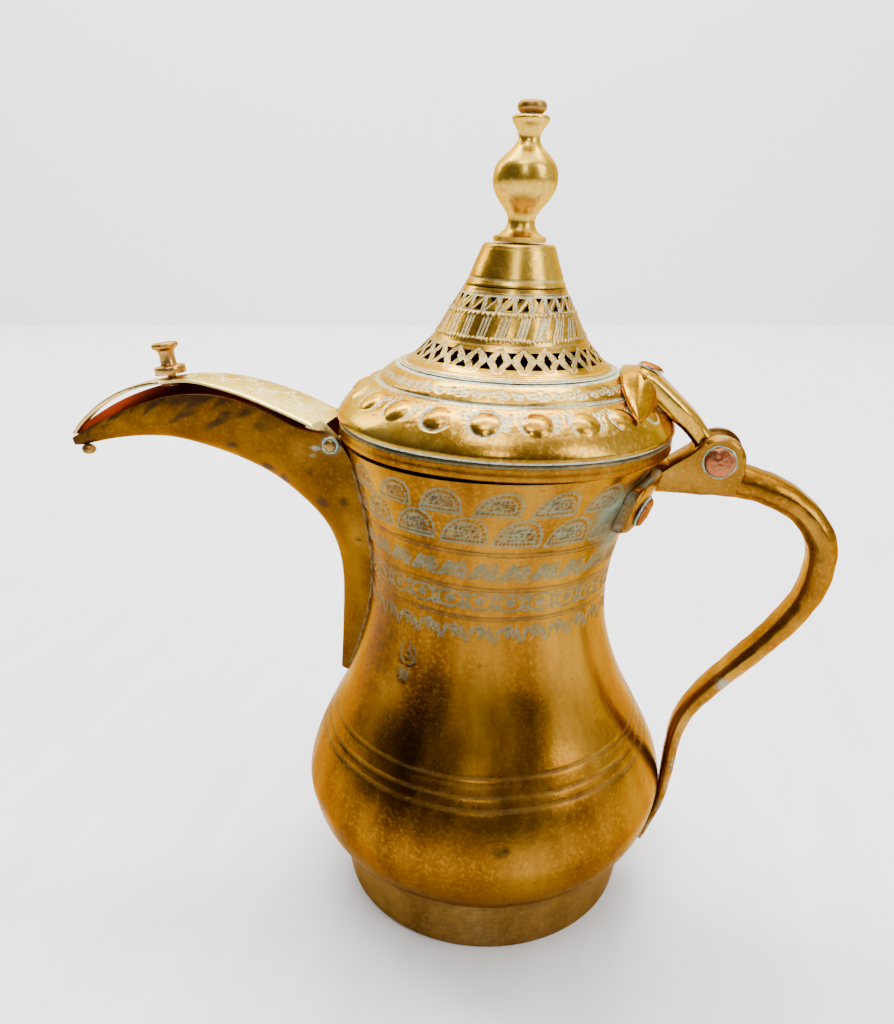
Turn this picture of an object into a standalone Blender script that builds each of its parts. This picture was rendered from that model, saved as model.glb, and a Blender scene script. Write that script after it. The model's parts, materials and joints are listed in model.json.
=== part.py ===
"""Dallah, an Arabic coffee pot of hand-worked brass, as an assembly of its separate pieces.

The pot stands on Z = 0 with the centre of its foot at the origin. The spout points along -X
and the handle along +X. Lengths below are in millimetres and MM turns them into metres.
The neck and the lid lean a little towards the handle, as on a pot raised by hand.
"""

import math

import bmesh
import bpy
from mathutils import Matrix, Vector

MM = 0.001
GAP = 0.3  # clearance between neighbouring pieces
SEGMENTS = 36  # round the large turned pieces
SMALL_SEGMENTS = 16  # round knobs, pins and rivets
BORE_GAP = 0.35  # radial clearance of a pin in its hole

# Body: outer radius by height, wall, and the lean of its neck.
WALL = 1.4
BODY_OUTLINE = ((49.6, 20.1), (53.2, 25.5), (55.2, 31.5), (55.9, 38), (52.9, 48), (47.9, 58), (42.8, 68),
                (38.4, 80), (35.7, 92), (35.2, 104), (36.8, 116), (40.1, 129), (44.6, 143))
BODY_STEPS = 15  # turned bands from foot to mouth
MOUTH_HEIGHT = 143.0
MOUTH_SHIFT = 4.0  # the mouth's centre stands this far towards the handle
LEAN_START = 80.0
MOUTH_TILT = math.radians(0.9)
TILT_START = 60.0

# Foot.
FOOT_OUTLINE = ((43.6, 0), (44.3, 0.8), (44.9, 5), (45.7, 10), (46.9, 15), (48.1, 19.2), (48.2, 19.8))
FOOT_WALL = 1.9
BASE_PLATE_THICKNESS = 1.6

# Spout: an open channel. Each station is the keel's x and z, the wall edge's x and z, half its width,
# and how much further its far edge stands up than its near one.
SPOUT_STATIONS = (
    (-47.6, 63.5, -43.0, 63.0, 1.6, 0), (-46.4, 79, -36.5, 78, 5.0, 0), (-45.6, 97, -30.5, 96, 9.0, 0),
    (-47.2, 107, -29.0, 109, 11.5, 0), (-51.0, 114.8, -31.0, 121, 13.0, 0), (-58.3, 122.2, -35.0, 133, 13.9, 0),
    (-67.3, 128.5, -41.6, 143.4, 13.2, 0), (-77, 132.8, -52.5, 145.8, 12.5, 0), (-88.6, 136.2, -64.5, 150.9, 12.0, 0),
    (-99, 138.1, -78, 153.8, 10.6, 0.4), (-108.2, 138.1, -92, 153.2, 8.8, 1.9), (-118.3, 136.9, -106, 149.4, 6.0, 6.6),
    (-126.4, 135.2, -119, 144.2, 3.7, 7.6), (-131.4, 133.9, -129.6, 139, 2.2, 3.4), (-134.4, 133.6, -134.2, 136.4, 1.5, 0.2))
SPOUT_WALL = 1.3
SPOUT_STEPS = 24  # sections from root to tip
SPOUT_SIDE = 5  # faces from the keel to each edge
BEAD_CENTRE = (-129.8, 132.6)
BEAD_RADIUS = 2.0

# Opening in the body wall behind the spout.
PORT_BOTTOM, PORT_TOP, PORT_HALF_WIDTH = 94.0, 133.0, 6.0

# Spout cover: x, height of its upper face and half its width, from the hinge to the tip.
COVER_STATIONS = (
    (-46.6, 146.6, 11.2), (-52, 149.2, 11.4), (-60, 152.4, 11.4), (-70, 155.6, 10.3), (-80, 157.7, 9.0),
    (-89, 158.2, 6.6), (-98, 157.2, 5.4), (-107, 155.2, 3.6), (-116, 152.0, 2.3), (-123.5, 147.8, 1.8),
    (-130.3, 142.3, 1.6), (-134.2, 138.1, 1.4))
COVER_THICKNESS = 1.0
COVER_CROWN = 0.9  # rise of its middle over its edges
COVER_HINGE = Vector((-43.2, 0, 141.8))
COVER_EAR_RADIUS = 2.3
COVER_EAR = (9.6, 11.0)  # inner and outer |y| of each ear
COVER_PIN_RADIUS = 0.9
COVER_PIN_HEAD = (1.75, 1.0)  # radius and height
SPOUT_BOSS = (2.6, 13.6)  # radius and outer |y|
KNOB_PLACE = Vector((-98.0, 0, 157.6))
KNOB_SHANK = 1.3
KNOB_OUTLINE = ((0, 9.9), (3.2, 9.9), (3.95, 9.4), (3.95, 8.2), (2.4, 7.2), (2.3, 4.9), (2.6, 3.1), (4.3, 2.9),
                (4.65, 2.3), (4.65, 0.4), (KNOB_SHANK, 0.4), (KNOB_SHANK, -3.1), (0, -3.1))
KNOB_WASHER = (3.4, -2.0, -2.7)  # radius, upper and lower height from KNOB_PLACE
KNOB_TILT = math.radians(-8)

# Lid: turned about its own axis. Heights count from the collar's lower edge.
LID_PLACE = Vector((4.4, 0, 144.2))
LID_TILT = math.radians(2.0)
SPIRE_START = 20.0
SPIRE_SHEAR = 0.038  # extra lean of everything above SPIRE_START
COLLAR_RADIUS = 46.7
COLLAR_HEIGHT = 4.3
SKIRT_RADIUS = 39.8
SKIRT_DEPTH = 4.2
LID_WALL = 1.2
DOME_OUTLINE = ((46.5, 4.6), (47.2, 5.6), (46.8, 7.2), (44.9, 9.8), (42.4, 12.2), (39.2, 14.3), (36.6, 15.7),
                (34.2, 17.9), (31.6, 19.8), (30.4, 20.3))
SPIRE_OUTLINE = ((29.9, 20.6), (26.9, 22.1), (24.0, 24.9), (21.1, 28.3), (17.6, 34.6), (13.7, 41.6))
CROWN_OUTLINE = ((13.5, 41.9), (13.0, 42.9), (9.4, 52.4))
PIERCED_BANDS = ((22.8, 27.2, 20), (36.2, 39.8, 16))  # lower and upper height, and openings round each band
TANG_RADIUS = 2.1
TANG_END = 48.6
WASHER_RADIUS = 4.8
WASHER_THICKNESS = 1.1
FINIAL_OUTLINE = ((0, 83.6), (4.0, 83.5), (4.85, 82.9), (4.6, 81.9), (3.6, 80.4), (2.8, 78.2), (3.6, 76.3),
                  (5.8, 74.1), (7.8, 71.7), (8.5, 68.6), (8.2, 66.2), (7.0, 63.7), (5.3, 61.5), (4.0, 59.6),
                  (3.6, 58.0), (4.1, 56.2), (5.6, 54.7), (7.1, 54.1), (7.1, 52.8), (TANG_RADIUS, 52.8),
                  (TANG_RADIUS, TANG_END), (0, TANG_END))
CAP_OUTLINE = ((0, 87.2), (2.2, 87.0), (3.5, 86.3), (3.75, 85.2), (2.9, 83.9), (0, 83.9))

# Lid hinge, between the two ears at the top of the handle.
LID_HINGE = Vector((63.7, 0, 141.2))
EAR_RADIUS = 7.0
EAR = (3.9, 6.6)  # inner and outer |y| of each ear
KNUCKLE_RADIUS = 5.7
KNUCKLE_HALF_WIDTH = 3.5
SLOT_RADIUS = 6.5
SLOT_RISE = 12.0  # the slot is open this far above the axis
LID_PIN_RADIUS = 1.9
LID_PIN_HEAD = (4.2, 1.7)

# Lid strap: x, height of its upper face, thickness and half its width, from the hinge inwards.
STRAP_STATIONS = ((62.6, 145.2, 4.4, 3.5), (60.2, 149.0, 4.2, 3.5), (57.6, 152.4, 4.0, 4.4), (54.6, 155.4, 3.9, 5.6),
                  (51.2, 158.6, 4.0, 6.2), (48.2, 161.4, 4.2, 6.6), (45.2, 163.8, 4.4, 7.2), (42.4, 164.9, 4.2, 7.8))
LEAF_HALF_SPAN = 24.0  # its wings reach this far from the strap's middle
LEAF_EDGES = ((0, 35.2, 45.0), (0.3, 35.4, 45.6), (0.55, 36.2, 44.6), (0.8, 38.2, 43.0), (1.0, 40.2, 41.6))
LEAF_THICKNESS = (3.3, 1.5)  # over the dome at its middle and at its wing tips
STRAP_RIVET_X = 41.5
STRAP_RIVET_SEAT = 165.6  # height of the strap's upper face there
STRAP_RIVET = (3.4, 1.2)  # head radius and height

# Handle: x, z, thickness and width along its middle line, from the saddle to the tail.
HANDLE_STATIONS = ((47.4, 134.9, 7.6, 12.6), (55, 135.3, 8.4, 12.8), (63, 135.4, 8.8, 12.8), (71, 134.6, 8.4, 12.6),
                   (78, 132.7, 7.7, 12.4), (84.8, 129.3, 7.5, 12.0), (90, 124.4, 7.7, 11.8), (93.3, 118.2, 7.8, 11.6),
                   (93.7, 111.5, 7.4, 11.4), (92.2, 103.8, 6.8, 11.2), (88.2, 95.8, 6.2, 11.0), (82, 87.2, 5.7, 10.6),
                   (75, 78.8, 5.3, 10.2), (68.2, 70.6, 5.0, 9.6), (62.9, 62.8, 4.6, 8.8), (60.1, 55.6, 4.2, 8.2),
                   (58.9, 48, 3.9, 7.8), (58.2, 39.5, 3.5, 7.4), (56.8, 29.8, 3.1, 6.8), (53.9, 20.5, 2.8, 6.0),
                   (51.4, 13.5, 2.4, 5.0))
HANDLE_STEPS = 38  # sections from the saddle to the tail
HANDLE_CHAMFER = 0.3  # share of the thickness cut off each corner

# Saddle: the plate that wraps the neck below the lid hinge and carries the handle.
SADDLE_BOTTOM, SADDLE_TOP = 122.4, 138.6
SADDLE_THICKNESS = 3.6
SADDLE_ANGLE = math.radians(29)  # how far it reaches round the neck on each side
SADDLE_RIVET_ANGLE = math.radians(17)
SADDLE_RIVET_HEIGHT = 130.0
SADDLE_RIVET_HEAD = (4.4, 1.7)
SADDLE_STEPS = 14  # sections round its arc
RIVET_SHANK = 1.4
RIVET_TAIL = (2.6, 0.9)  # radius and height of the end closed over inside

BRASS = ((0.66, 0.45, 0.13), 0.34)
DARK_BRASS = ((0.50, 0.31, 0.08), 0.42)
GREY_BRASS = ((0.52, 0.40, 0.20), 0.46)
PALE_BRASS = ((0.72, 0.60, 0.30), 0.30)
COPPER = ((0.58, 0.29, 0.19), 0.44)


def smooth_curve(points, count):
    """count + 1 points on a smooth curve through the given ones, in any number of dimensions."""
    points = [Vector(p) for p in points]
    steps = [max((b - a).length, 1e-6) for a, b in zip(points, points[1:])]
    places = [0.0]
    for step in steps:
        places.append(places[-1] + step)
    slopes = []
    for i in range(len(points)):
        low, high = max(i - 1, 0), min(i + 1, len(points) - 1)
        slopes.append((points[high] - points[low]) / (places[high] - places[low]))
    result = []
    for k in range(count + 1):
        place = places[-1] * k / count
        i = max(j for j in range(len(steps)) if places[j] <= place + 1e-9)
        t = (place - places[i]) / steps[i]
        result.append(points[i] * (2 * t**3 - 3 * t**2 + 1) + slopes[i] * steps[i] * (t**3 - 2 * t**2 + t)
                      + points[i + 1] * (3 * t**2 - 2 * t**3) + slopes[i + 1] * steps[i] * (t**3 - t**2))
    return result


def material(name, look):
    colour, roughness = look
    made = bpy.data.materials.new(name)
    made.use_nodes = True
    shader = made.node_tree.nodes["Principled BSDF"]
    shader.inputs["Base Color"].default_value = (*colour, 1)
    shader.inputs["Metallic"].default_value = 1.0
    shader.inputs["Roughness"].default_value = roughness
    made.diffuse_color = (*colour, 1)
    return made


def add_empty(name, place, parent=None, rotation=0.0):
    """An empty at a place in millimetres, under its parent, turned about Y."""
    empty = bpy.data.objects.new(name, None)
    empty.location = Vector(place) * MM
    empty.rotation_euler = (0, rotation, 0)
    empty.parent = parent
    bpy.context.scene.collection.objects.link(empty)
    return empty


def add_object(name, mesh, look, parent=None, flat_over=35):
    """The bmesh, in millimetres, as a named object with its own material."""
    bmesh.ops.recalc_face_normals(mesh, faces=mesh.faces)
    if mesh.calc_volume(signed=True) < 0:
        bmesh.ops.reverse_faces(mesh, faces=mesh.faces)
    mesh.transform(Matrix.Scale(MM, 4))
    data = bpy.data.meshes.new(name)
    mesh.to_mesh(data)
    mesh.free()
    data.shade_smooth()
    data.set_sharp_from_angle(angle=math.radians(flat_over))
    obj = bpy.data.objects.new(name, data)
    obj.parent = parent
    bpy.context.scene.collection.objects.link(obj)
    if look:
        data.materials.append(material(name, look))
    return obj


def add_cutter(name, mesh, parent=None):
    cutter = add_object(name, mesh, None, parent)
    cutter.hide_render = True
    cutter.display_type = "WIRE"
    return cutter


def boolean(obj, other, operation="DIFFERENCE"):
    modifier = obj.modifiers.new(f"{operation} {other.name}", "BOOLEAN")
    modifier.operation = operation
    modifier.solver = "EXACT"
    modifier.object = other


def turned(outline, segments=SEGMENTS):
    """The outline's (radius, height) points spun round Z. It closes on itself or at the axis."""
    mesh = bmesh.new()
    points = [mesh.verts.new((radius, 0, height)) for radius, height in outline]
    pairs = list(zip(points, points[1:]))
    if outline[0][0] > 0:
        pairs.append((points[-1], points[0]))
    edges = [mesh.edges.new(pair) for pair in pairs]
    bmesh.ops.spin(mesh, geom=points + edges, cent=(0, 0, 0), axis=(0, 0, 1), angle=math.tau, steps=segments)
    bmesh.ops.remove_doubles(mesh, verts=mesh.verts, dist=1e-3)
    bmesh.ops.dissolve_degenerate(mesh, edges=mesh.edges, dist=1e-5)
    return mesh


def moved(mesh, rule):
    """Every vertex put where the rule sends it."""
    for vertex in mesh.verts:
        vertex.co = rule(vertex.co)
    return mesh


def lofted(sections):
    """A closed mesh through closed sections of equal point count, capped at both ends."""
    mesh = bmesh.new()
    loops = [[mesh.verts.new(point) for point in section] for section in sections]
    for first, second in zip(loops, loops[1:]):
        for k in range(len(first)):
            after = (k + 1) % len(first)
            mesh.faces.new((first[k], first[after], second[after], second[k]))
    mesh.faces.new(loops[0][::-1])
    mesh.faces.new(loops[-1])
    return mesh


def cylinder(radius, low, high, centre, direction=(0, 1, 0), segments=SMALL_SEGMENTS):
    """A cylinder along a direction, from low to high measured from the centre."""
    mesh = turned(((0, high), (radius, high), (radius, low), (0, low)), segments)
    turn = Vector((0, 0, 1)).rotation_difference(Vector(direction)).to_matrix().to_4x4()
    mesh.transform(Matrix.Translation(centre) @ turn)
    return mesh


def headed_pin(radius, half_length, head, centre):
    """A pin along Y with a low domed head at each end."""
    head_radius, head_height = head
    dome = [(head_radius * math.cos(a), half_length + head_height * math.sin(a))
            for a in (math.radians(step) for step in (90, 62, 35, 12))]
    end = [(0, half_length + head_height)] + dome[1:] + [(head_radius, half_length), (radius, half_length)]
    mesh = turned(end + [(r, -h) for r, h in reversed(end)], SMALL_SEGMENTS)
    mesh.transform(Matrix.Translation(centre) @ Matrix.Rotation(math.radians(-90), 4, "X"))
    return mesh


def neck_shift(height):
    """How far the body's axis has leant towards the handle at a height."""
    return MOUTH_SHIFT * max(0.0, (height - LEAN_START) / (MOUTH_HEIGHT - LEAN_START)) ** 1.5


def leaned(point):
    """A point of the upright turned body, put where the leaning pot has it."""
    share = min(max((point.z - TILT_START) / (MOUTH_HEIGHT - TILT_START), 0.0), 1.0)
    tilt = MOUTH_TILT * share * share * (3 - 2 * share)
    return Vector((neck_shift(point.z) + point.x * math.cos(tilt), point.y, point.z - point.x * math.sin(tilt)))


def body_radius(height):
    """Outer radius of the body at a height."""
    curve = smooth_curve(BODY_OUTLINE, 60)
    for low, high in zip(curve, curve[1:]):
        if low[1] <= height <= high[1]:
            return low[0] + (high[0] - low[0]) * (height - low[1]) / (high[1] - low[1])
    return curve[-1][0] if height > curve[-1][1] else curve[0][0]


def body_place(angle, height, out=0.0):
    """The point on the body's outside at an angle from +X, moved outwards."""
    radius = body_radius(height) + out
    return leaned(Vector((radius * math.cos(angle), radius * math.sin(angle), height)))


def body_normal(angle, height):
    """The direction straight out of the body's surface there."""
    around = body_place(angle + 0.01, height) - body_place(angle - 0.01, height)
    upwards = body_place(angle, height + 1) - body_place(angle, height - 1)
    return around.cross(upwards).normalized()


def body_cutter():
    """The body's outer form grown by the gap, to trim what sits against it."""
    curve = smooth_curve(BODY_OUTLINE, BODY_STEPS)
    outline = [(0, curve[-1][1] + 6)] + [(curve[-1][0] + GAP, curve[-1][1] + 6)]
    outline += [(r + GAP, z) for r, z in reversed(curve)] + [(curve[0][0] + GAP, -5), (0, -5)]
    return add_cutter("body_cutter", moved(turned(outline), leaned))


def build_foot():
    # The inside runs plainly past the small bevels of the two outside edges.
    plain = FOOT_OUTLINE[:1] + FOOT_OUTLINE[2:5] + FOOT_OUTLINE[6:]
    inside = [(radius - FOOT_WALL, height) for radius, height in plain]
    add_object("foot_band", turned([*FOOT_OUTLINE, *inside[::-1]]), GREY_BRASS)
    plate = inside[0][0] - GAP
    rim = 0.4
    outline = ((0, BASE_PLATE_THICKNESS), (plate - rim, BASE_PLATE_THICKNESS), (plate, BASE_PLATE_THICKNESS - rim),
               (plate, 0), (0, 0))
    add_object("base_plate", turned(outline), GREY_BRASS)


def build_body():
    outer = smooth_curve(BODY_OUTLINE, BODY_STEPS)
    inner = []
    for i, (radius, height) in enumerate(outer):
        along = (outer[min(i + 1, BODY_STEPS)] - outer[max(i - 1, 0)]).normalized()
        inner.append((radius - WALL * along[1], height + WALL * along[0]))
    inner[0] = (outer[0][0] - WALL * 1.4, outer[0][1])
    inner[-1] = (outer[-1][0] - WALL, outer[-1][1])
    body = add_object("body_shell", moved(turned([*map(tuple, outer), *inner[::-1]]), leaned), BRASS)
    half = (PORT_TOP - PORT_BOTTOM) / 2 - PORT_HALF_WIDTH
    section = []
    for k in range(12):
        angle = math.tau * (k + 0.5) / 12
        section.append((PORT_HALF_WIDTH * math.sin(angle),
                        PORT_HALF_WIDTH * math.cos(angle) + math.copysign(half, math.cos(angle))))
    port = lofted([[(x, y, (PORT_TOP + PORT_BOTTOM) / 2 + z) for y, z in section] for x in (-50.0, -20.0)])
    boolean(body, add_cutter("port_cutter", port))
    return body


def spout_section(keel_x, keel_z, edge_x, edge_z, half_width, far_rise):
    """One closed section of the channel: its outside from edge to edge, then its inside back."""
    keel, up = Vector((keel_x, 0, keel_z)), Vector((edge_x - keel_x, 0, edge_z - keel_z))
    near_depth = up.length
    up.normalize()
    wall = min(SPOUT_WALL, 0.5 * half_width)
    outside, inside = [], []
    for k in range(-SPOUT_SIDE, SPOUT_SIDE + 1):
        t = abs(k) / SPOUT_SIDE
        side = math.copysign(1, k) * (0.3 * t + 0.7 * math.sin(math.pi / 2 * t))
        depth = near_depth + (far_rise if k > 0 else 0)
        outside.append(keel + up * depth * t**1.5 + Vector((0, half_width * side, 0)))
        inner_depth = wall * 1.25 + (depth - wall * 1.25) * t**1.5
        inside.append(keel + up * inner_depth + Vector((0, (half_width - wall) * side, 0)))
    return outside + inside[::-1]


def build_spout(trim):
    stations = smooth_curve(SPOUT_STATIONS, SPOUT_STEPS)
    spout = add_object("spout", lofted([spout_section(*station) for station in stations]), DARK_BRASS)
    boss_radius, boss_end = SPOUT_BOSS
    for side, name in ((-1, "near"), (1, "far")):
        boss = cylinder(boss_radius, boss_end - 2.2, boss_end, COVER_HINGE, (0, side, 0))
        boolean(spout, add_cutter(f"boss_{name}", boss), "UNION")
    boolean(spout, trim)
    bore = cylinder(COVER_PIN_RADIUS + BORE_GAP, -20, 20, COVER_HINGE)
    boolean(spout, add_cutter("spout_bore", bore))
    pin = headed_pin(COVER_PIN_RADIUS, boss_end + GAP, COVER_PIN_HEAD, COVER_HINGE)
    add_object("spout_hinge_pin", pin, DARK_BRASS)
    bead = bmesh.new()
    bmesh.ops.create_icosphere(bead, subdivisions=2, radius=BEAD_RADIUS)
    bead.transform(Matrix.Translation((BEAD_CENTRE[0], 0, BEAD_CENTRE[1])) @ Matrix.Diagonal((1.25, 1, 0.9, 1)))
    bead = add_object("spout_tip_bead", bead, GREY_BRASS)
    boolean(bead, bead_trim())
    return spout


def bead_trim():
    """The outer form of the spout's end, grown by the gap, as a solid bar."""
    sections = []
    for station in smooth_curve(SPOUT_STATIONS, SPOUT_STEPS)[SPOUT_STEPS * 4 // 5:]:
        section = spout_section(*station)[:2 * SPOUT_SIDE + 1]
        middle = sum(section, Vector()) / len(section)
        sections.append([point + (point - middle).normalized() * 2 * GAP for point in section])
    return add_cutter("bead_trim", lofted(sections))


def build_handle(trim):
    stations = smooth_curve(HANDLE_STATIONS, HANDLE_STEPS)
    sections = []
    for i, (x, z, thickness, width) in enumerate(stations):
        before, after = stations[max(i - 1, 0)], stations[min(i + 1, len(stations) - 1)]
        along = Vector((after[0] - before[0], 0, after[1] - before[1])).normalized()
        across = Vector((along.z, 0, -along.x))
        a, b, cut = thickness / 2, width / 2, HANDLE_CHAMFER * thickness
        corners = ((a, b - cut), (a - cut, b), (cut - a, b), (-a, b - cut), (-a, cut - b), (cut - a, -b), (a - cut, -b),
                   (a, cut - b))
        sections.append([Vector((x, 0, z)) + across * u + Vector((0, v, 0)) for u, v in corners])
    handle = add_object("handle", lofted(sections), DARK_BRASS)
    ears = cylinder(EAR_RADIUS, -EAR[1], EAR[1], LID_HINGE, segments=32)
    boolean(handle, add_cutter("ears", ears), "UNION")
    slot = [LID_HINGE + Vector((SLOT_RADIUS * math.cos(a), 0, SLOT_RADIUS * math.sin(a)))
            for a in (math.pi + math.pi * k / 14 for k in range(15))]
    slot += [LID_HINGE + Vector((x, 0, SLOT_RISE)) for x in (SLOT_RADIUS, -SLOT_RADIUS)]
    slot = lofted([[point + Vector((0, y, 0)) for point in slot] for y in (-EAR[0], EAR[0])])
    boolean(handle, add_cutter("slot", slot))
    bore = cylinder(LID_PIN_RADIUS + BORE_GAP, -20, 20, LID_HINGE)
    boolean(handle, add_cutter("handle_bore", bore))
    boolean(handle, trim)
    pin = headed_pin(LID_PIN_RADIUS, EAR[1] + GAP, LID_PIN_HEAD, LID_HINGE)
    add_object("lid_hinge_pin", pin, COPPER)


def build_saddle(body, trim):
    """The saddle plate and its two rivets, which also pass through the body's wall."""
    sections = []
    for k in range(SADDLE_STEPS + 1):
        share = 2 * k / SADDLE_STEPS - 1
        angle = SADDLE_ANGLE * share
        round_end = math.sqrt(max(1 - abs(share) ** 5, 0.0))
        middle, half = (SADDLE_TOP + SADDLE_BOTTOM) / 2, (SADDLE_TOP - SADDLE_BOTTOM) / 2 * (0.55 + 0.45 * round_end)
        edge = SADDLE_THICKNESS * 0.6
        rows = ((-1.0, -half), (edge, -half), (SADDLE_THICKNESS, 1.5 - half), (SADDLE_THICKNESS, half - 1.5),
                (edge, half), (-1.0, half))
        sections.append([body_place(angle, middle + rise, out) for out, rise in rows])
    saddle = add_object("handle_saddle", lofted(sections), DARK_BRASS)
    boolean(saddle, trim)
    boolean(saddle, add_cutter("saddle_seat", saddle_seat()))
    for side, name in ((-1, "near"), (1, "far")):
        angle = side * SADDLE_RIVET_ANGLE
        surface = body_place(angle, SADDLE_RIVET_HEIGHT)
        outwards = body_normal(angle, SADDLE_RIVET_HEIGHT)
        bore = cylinder(RIVET_SHANK + BORE_GAP, -8, 8, surface, outwards)
        bore = add_cutter(f"saddle_bore_{name}", bore)
        boolean(body, bore)
        boolean(saddle, bore)
        top = SADDLE_THICKNESS + 2 * GAP
        head_radius, head_height = SADDLE_RIVET_HEAD
        tail_radius, tail_height = RIVET_TAIL
        tail = -WALL - 2 * GAP
        outline = ((0, top + head_height), (head_radius * 0.6, top + head_height * 0.8),
                   (head_radius * 0.92, top + head_height * 0.4), (head_radius, top), (RIVET_SHANK, top),
                   (RIVET_SHANK, tail), (tail_radius, tail), (tail_radius * 0.7, tail - tail_height),
                   (0, tail - tail_height))
        rivet = turned(outline, SMALL_SEGMENTS)
        turn = Vector((0, 0, 1)).rotation_difference(outwards).to_matrix().to_4x4()
        rivet.transform(Matrix.Translation(surface) @ turn)
        add_object(f"saddle_rivet_{name}", rivet, COPPER)


def saddle_seat():
    """The end of the handle's arm grown by the gap, which the saddle makes room for."""
    x, z, thickness, width = HANDLE_STATIONS[0]
    seat = bmesh.new()
    bmesh.ops.create_cube(seat, size=1)
    size = (12, width + 2 * GAP, thickness + 2 * GAP, 1)
    seat.transform(Matrix.Translation((x - GAP + 6, 0, z)) @ Matrix.Diagonal(size))
    return seat


def spire_lean(point):
    return Vector((point.x + SPIRE_SHEAR * max(point.z - SPIRE_START, 0), point.y, point.z))


def thick(outline, wall):
    """A wall of this thickness inside an outer curve, as a closed outline for turned()."""
    outer = [Vector(p) for p in outline]
    inner = []
    for i, (radius, height) in enumerate(outer):
        along = (outer[min(i + 1, len(outer) - 1)] - outer[max(i - 1, 0)]).normalized()
        inner.append((radius - wall * abs(along[1]), height + wall * min(along[0], 0)))
    inner[0] = (outer[0][0] - wall, outer[0][1])
    inner[-1] = (outer[-1][0] - wall, outer[-1][1])
    return [*map(tuple, outer), *inner[::-1]]


def build_lid(frame):
    top, deep = COLLAR_HEIGHT, SKIRT_DEPTH
    collar = ((COLLAR_RADIUS - 0.4, top), (COLLAR_RADIUS, top - 0.5), (COLLAR_RADIUS + 0.2, 1.2),
              (COLLAR_RADIUS - 0.2, 0.2), (COLLAR_RADIUS - 0.8, 0), (SKIRT_RADIUS, 0), (SKIRT_RADIUS, -deep + 0.4),
              (SKIRT_RADIUS - 0.4, -deep), (SKIRT_RADIUS - LID_WALL, -deep), (SKIRT_RADIUS - LID_WALL, top))
    add_object("lid_collar", turned(collar), BRASS, frame)
    dome = add_object("lid_dome", turned(thick(DOME_OUTLINE, LID_WALL)), BRASS, frame)
    spire = add_object("lid_spire", moved(turned(thick(SPIRE_OUTLINE, LID_WALL)), spire_lean), BRASS, frame)
    boolean(spire, add_cutter("piercings", moved(piercings(), spire_lean), frame))
    crown = thick(CROWN_OUTLINE, LID_WALL)
    height = CROWN_OUTLINE[-1][1]
    hole = TANG_RADIUS + BORE_GAP
    crown[3:4] = [(hole, height), (hole, height - LID_WALL), (CROWN_OUTLINE[-1][0] - 1.8 * LID_WALL, height - LID_WALL)]
    add_object("lid_crown", moved(turned(crown, 24), spire_lean), BRASS, frame)
    under = height - LID_WALL - GAP
    washer = ((WASHER_RADIUS, under), (WASHER_RADIUS, under - WASHER_THICKNESS), (hole, under - WASHER_THICKNESS),
              (hole, under))
    add_object("finial_washer", moved(turned(washer, SMALL_SEGMENTS), spire_lean), BRASS, frame)
    add_object("finial", moved(turned(FINIAL_OUTLINE, 18), spire_lean), BRASS, frame)
    add_object("finial_cap", moved(turned(CAP_OUTLINE, SMALL_SEGMENTS), spire_lean), PALE_BRASS, frame)
    return dome


def piercings():
    """Triangular prisms that point by turns up and down, all round each pierced band."""
    mesh = bmesh.new()
    for low, high, count in PIERCED_BANDS:
        for k in range(count):
            middle, half = math.tau * (k + 0.15) / count, math.pi / count * 0.72
            flip = k % 2 == 0
            wide, narrow = (low, high) if flip else (high, low)
            corners = ((middle - half, wide), (middle + half, wide), (middle, narrow))
            rings = [[mesh.verts.new((r * math.cos(a), r * math.sin(a), z)) for a, z in corners] for r in (8.0, 32.0)]
            mesh.faces.new(rings[0])
            mesh.faces.new(rings[1][::-1])
            for i in range(3):
                j = (i + 1) % 3
                mesh.faces.new((rings[0][i], rings[1][i], rings[1][j], rings[0][j]))
    return mesh


def dome_height(radius):
    """Height of the dome's outside at a radius from the lid's axis."""
    outer = [p for p in DOME_OUTLINE if p[1] >= 5.6]
    for wide, narrow in zip(outer, outer[1:]):
        if narrow[0] <= radius <= wide[0]:
            return wide[1] + (narrow[1] - wide[1]) * (wide[0] - radius) / (wide[0] - narrow[0])
    return outer[-1][1] if radius < outer[-1][0] else outer[0][1]


def leaf():
    """The strap's wings, draped over the dome, in the lid's own frame."""
    rows, columns = 13, 4
    mesh = bmesh.new()
    grids = []
    axis = LID_PLACE.x
    for top in (False, True):
        grid = []
        for i in range(rows):
            share = 2 * i / (rows - 1) - 1
            left, right = leaf_edges(abs(share))
            middle, tip = LEAF_THICKNESS
            row = []
            for j in range(columns + 1):
                across = j / columns
                x, y = left + (right - left) * across - axis, LEAF_HALF_SPAN * share
                swell = math.sin(math.pi * across) ** 0.5 if top else 0.0
                height = dome_height(math.hypot(x, y)) + 0.4
                height += (0.45 + 0.55 * swell) * (middle + (tip - middle) * abs(share) ** 1.5) if top else 0.0
                row.append(mesh.verts.new((x, y, height)))
            grid.append(row)
        grids.append(grid)
    low, high = grids
    for i in range(rows - 1):
        for j in range(columns):
            mesh.faces.new((high[i][j], high[i + 1][j], high[i + 1][j + 1], high[i][j + 1]))
            mesh.faces.new((low[i][j], low[i][j + 1], low[i + 1][j + 1], low[i + 1][j]))
    border = [(i, 0) for i in range(rows)] + [(rows - 1, j) for j in range(1, columns + 1)]
    border += [(i, columns) for i in range(rows - 2, -1, -1)] + [(0, j) for j in range(columns - 1, 0, -1)]
    for (i, j), (k, m) in zip(border, border[1:] + border[:1]):
        mesh.faces.new((low[i][j], low[k][m], high[k][m], high[i][j]))
    return mesh


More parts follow.
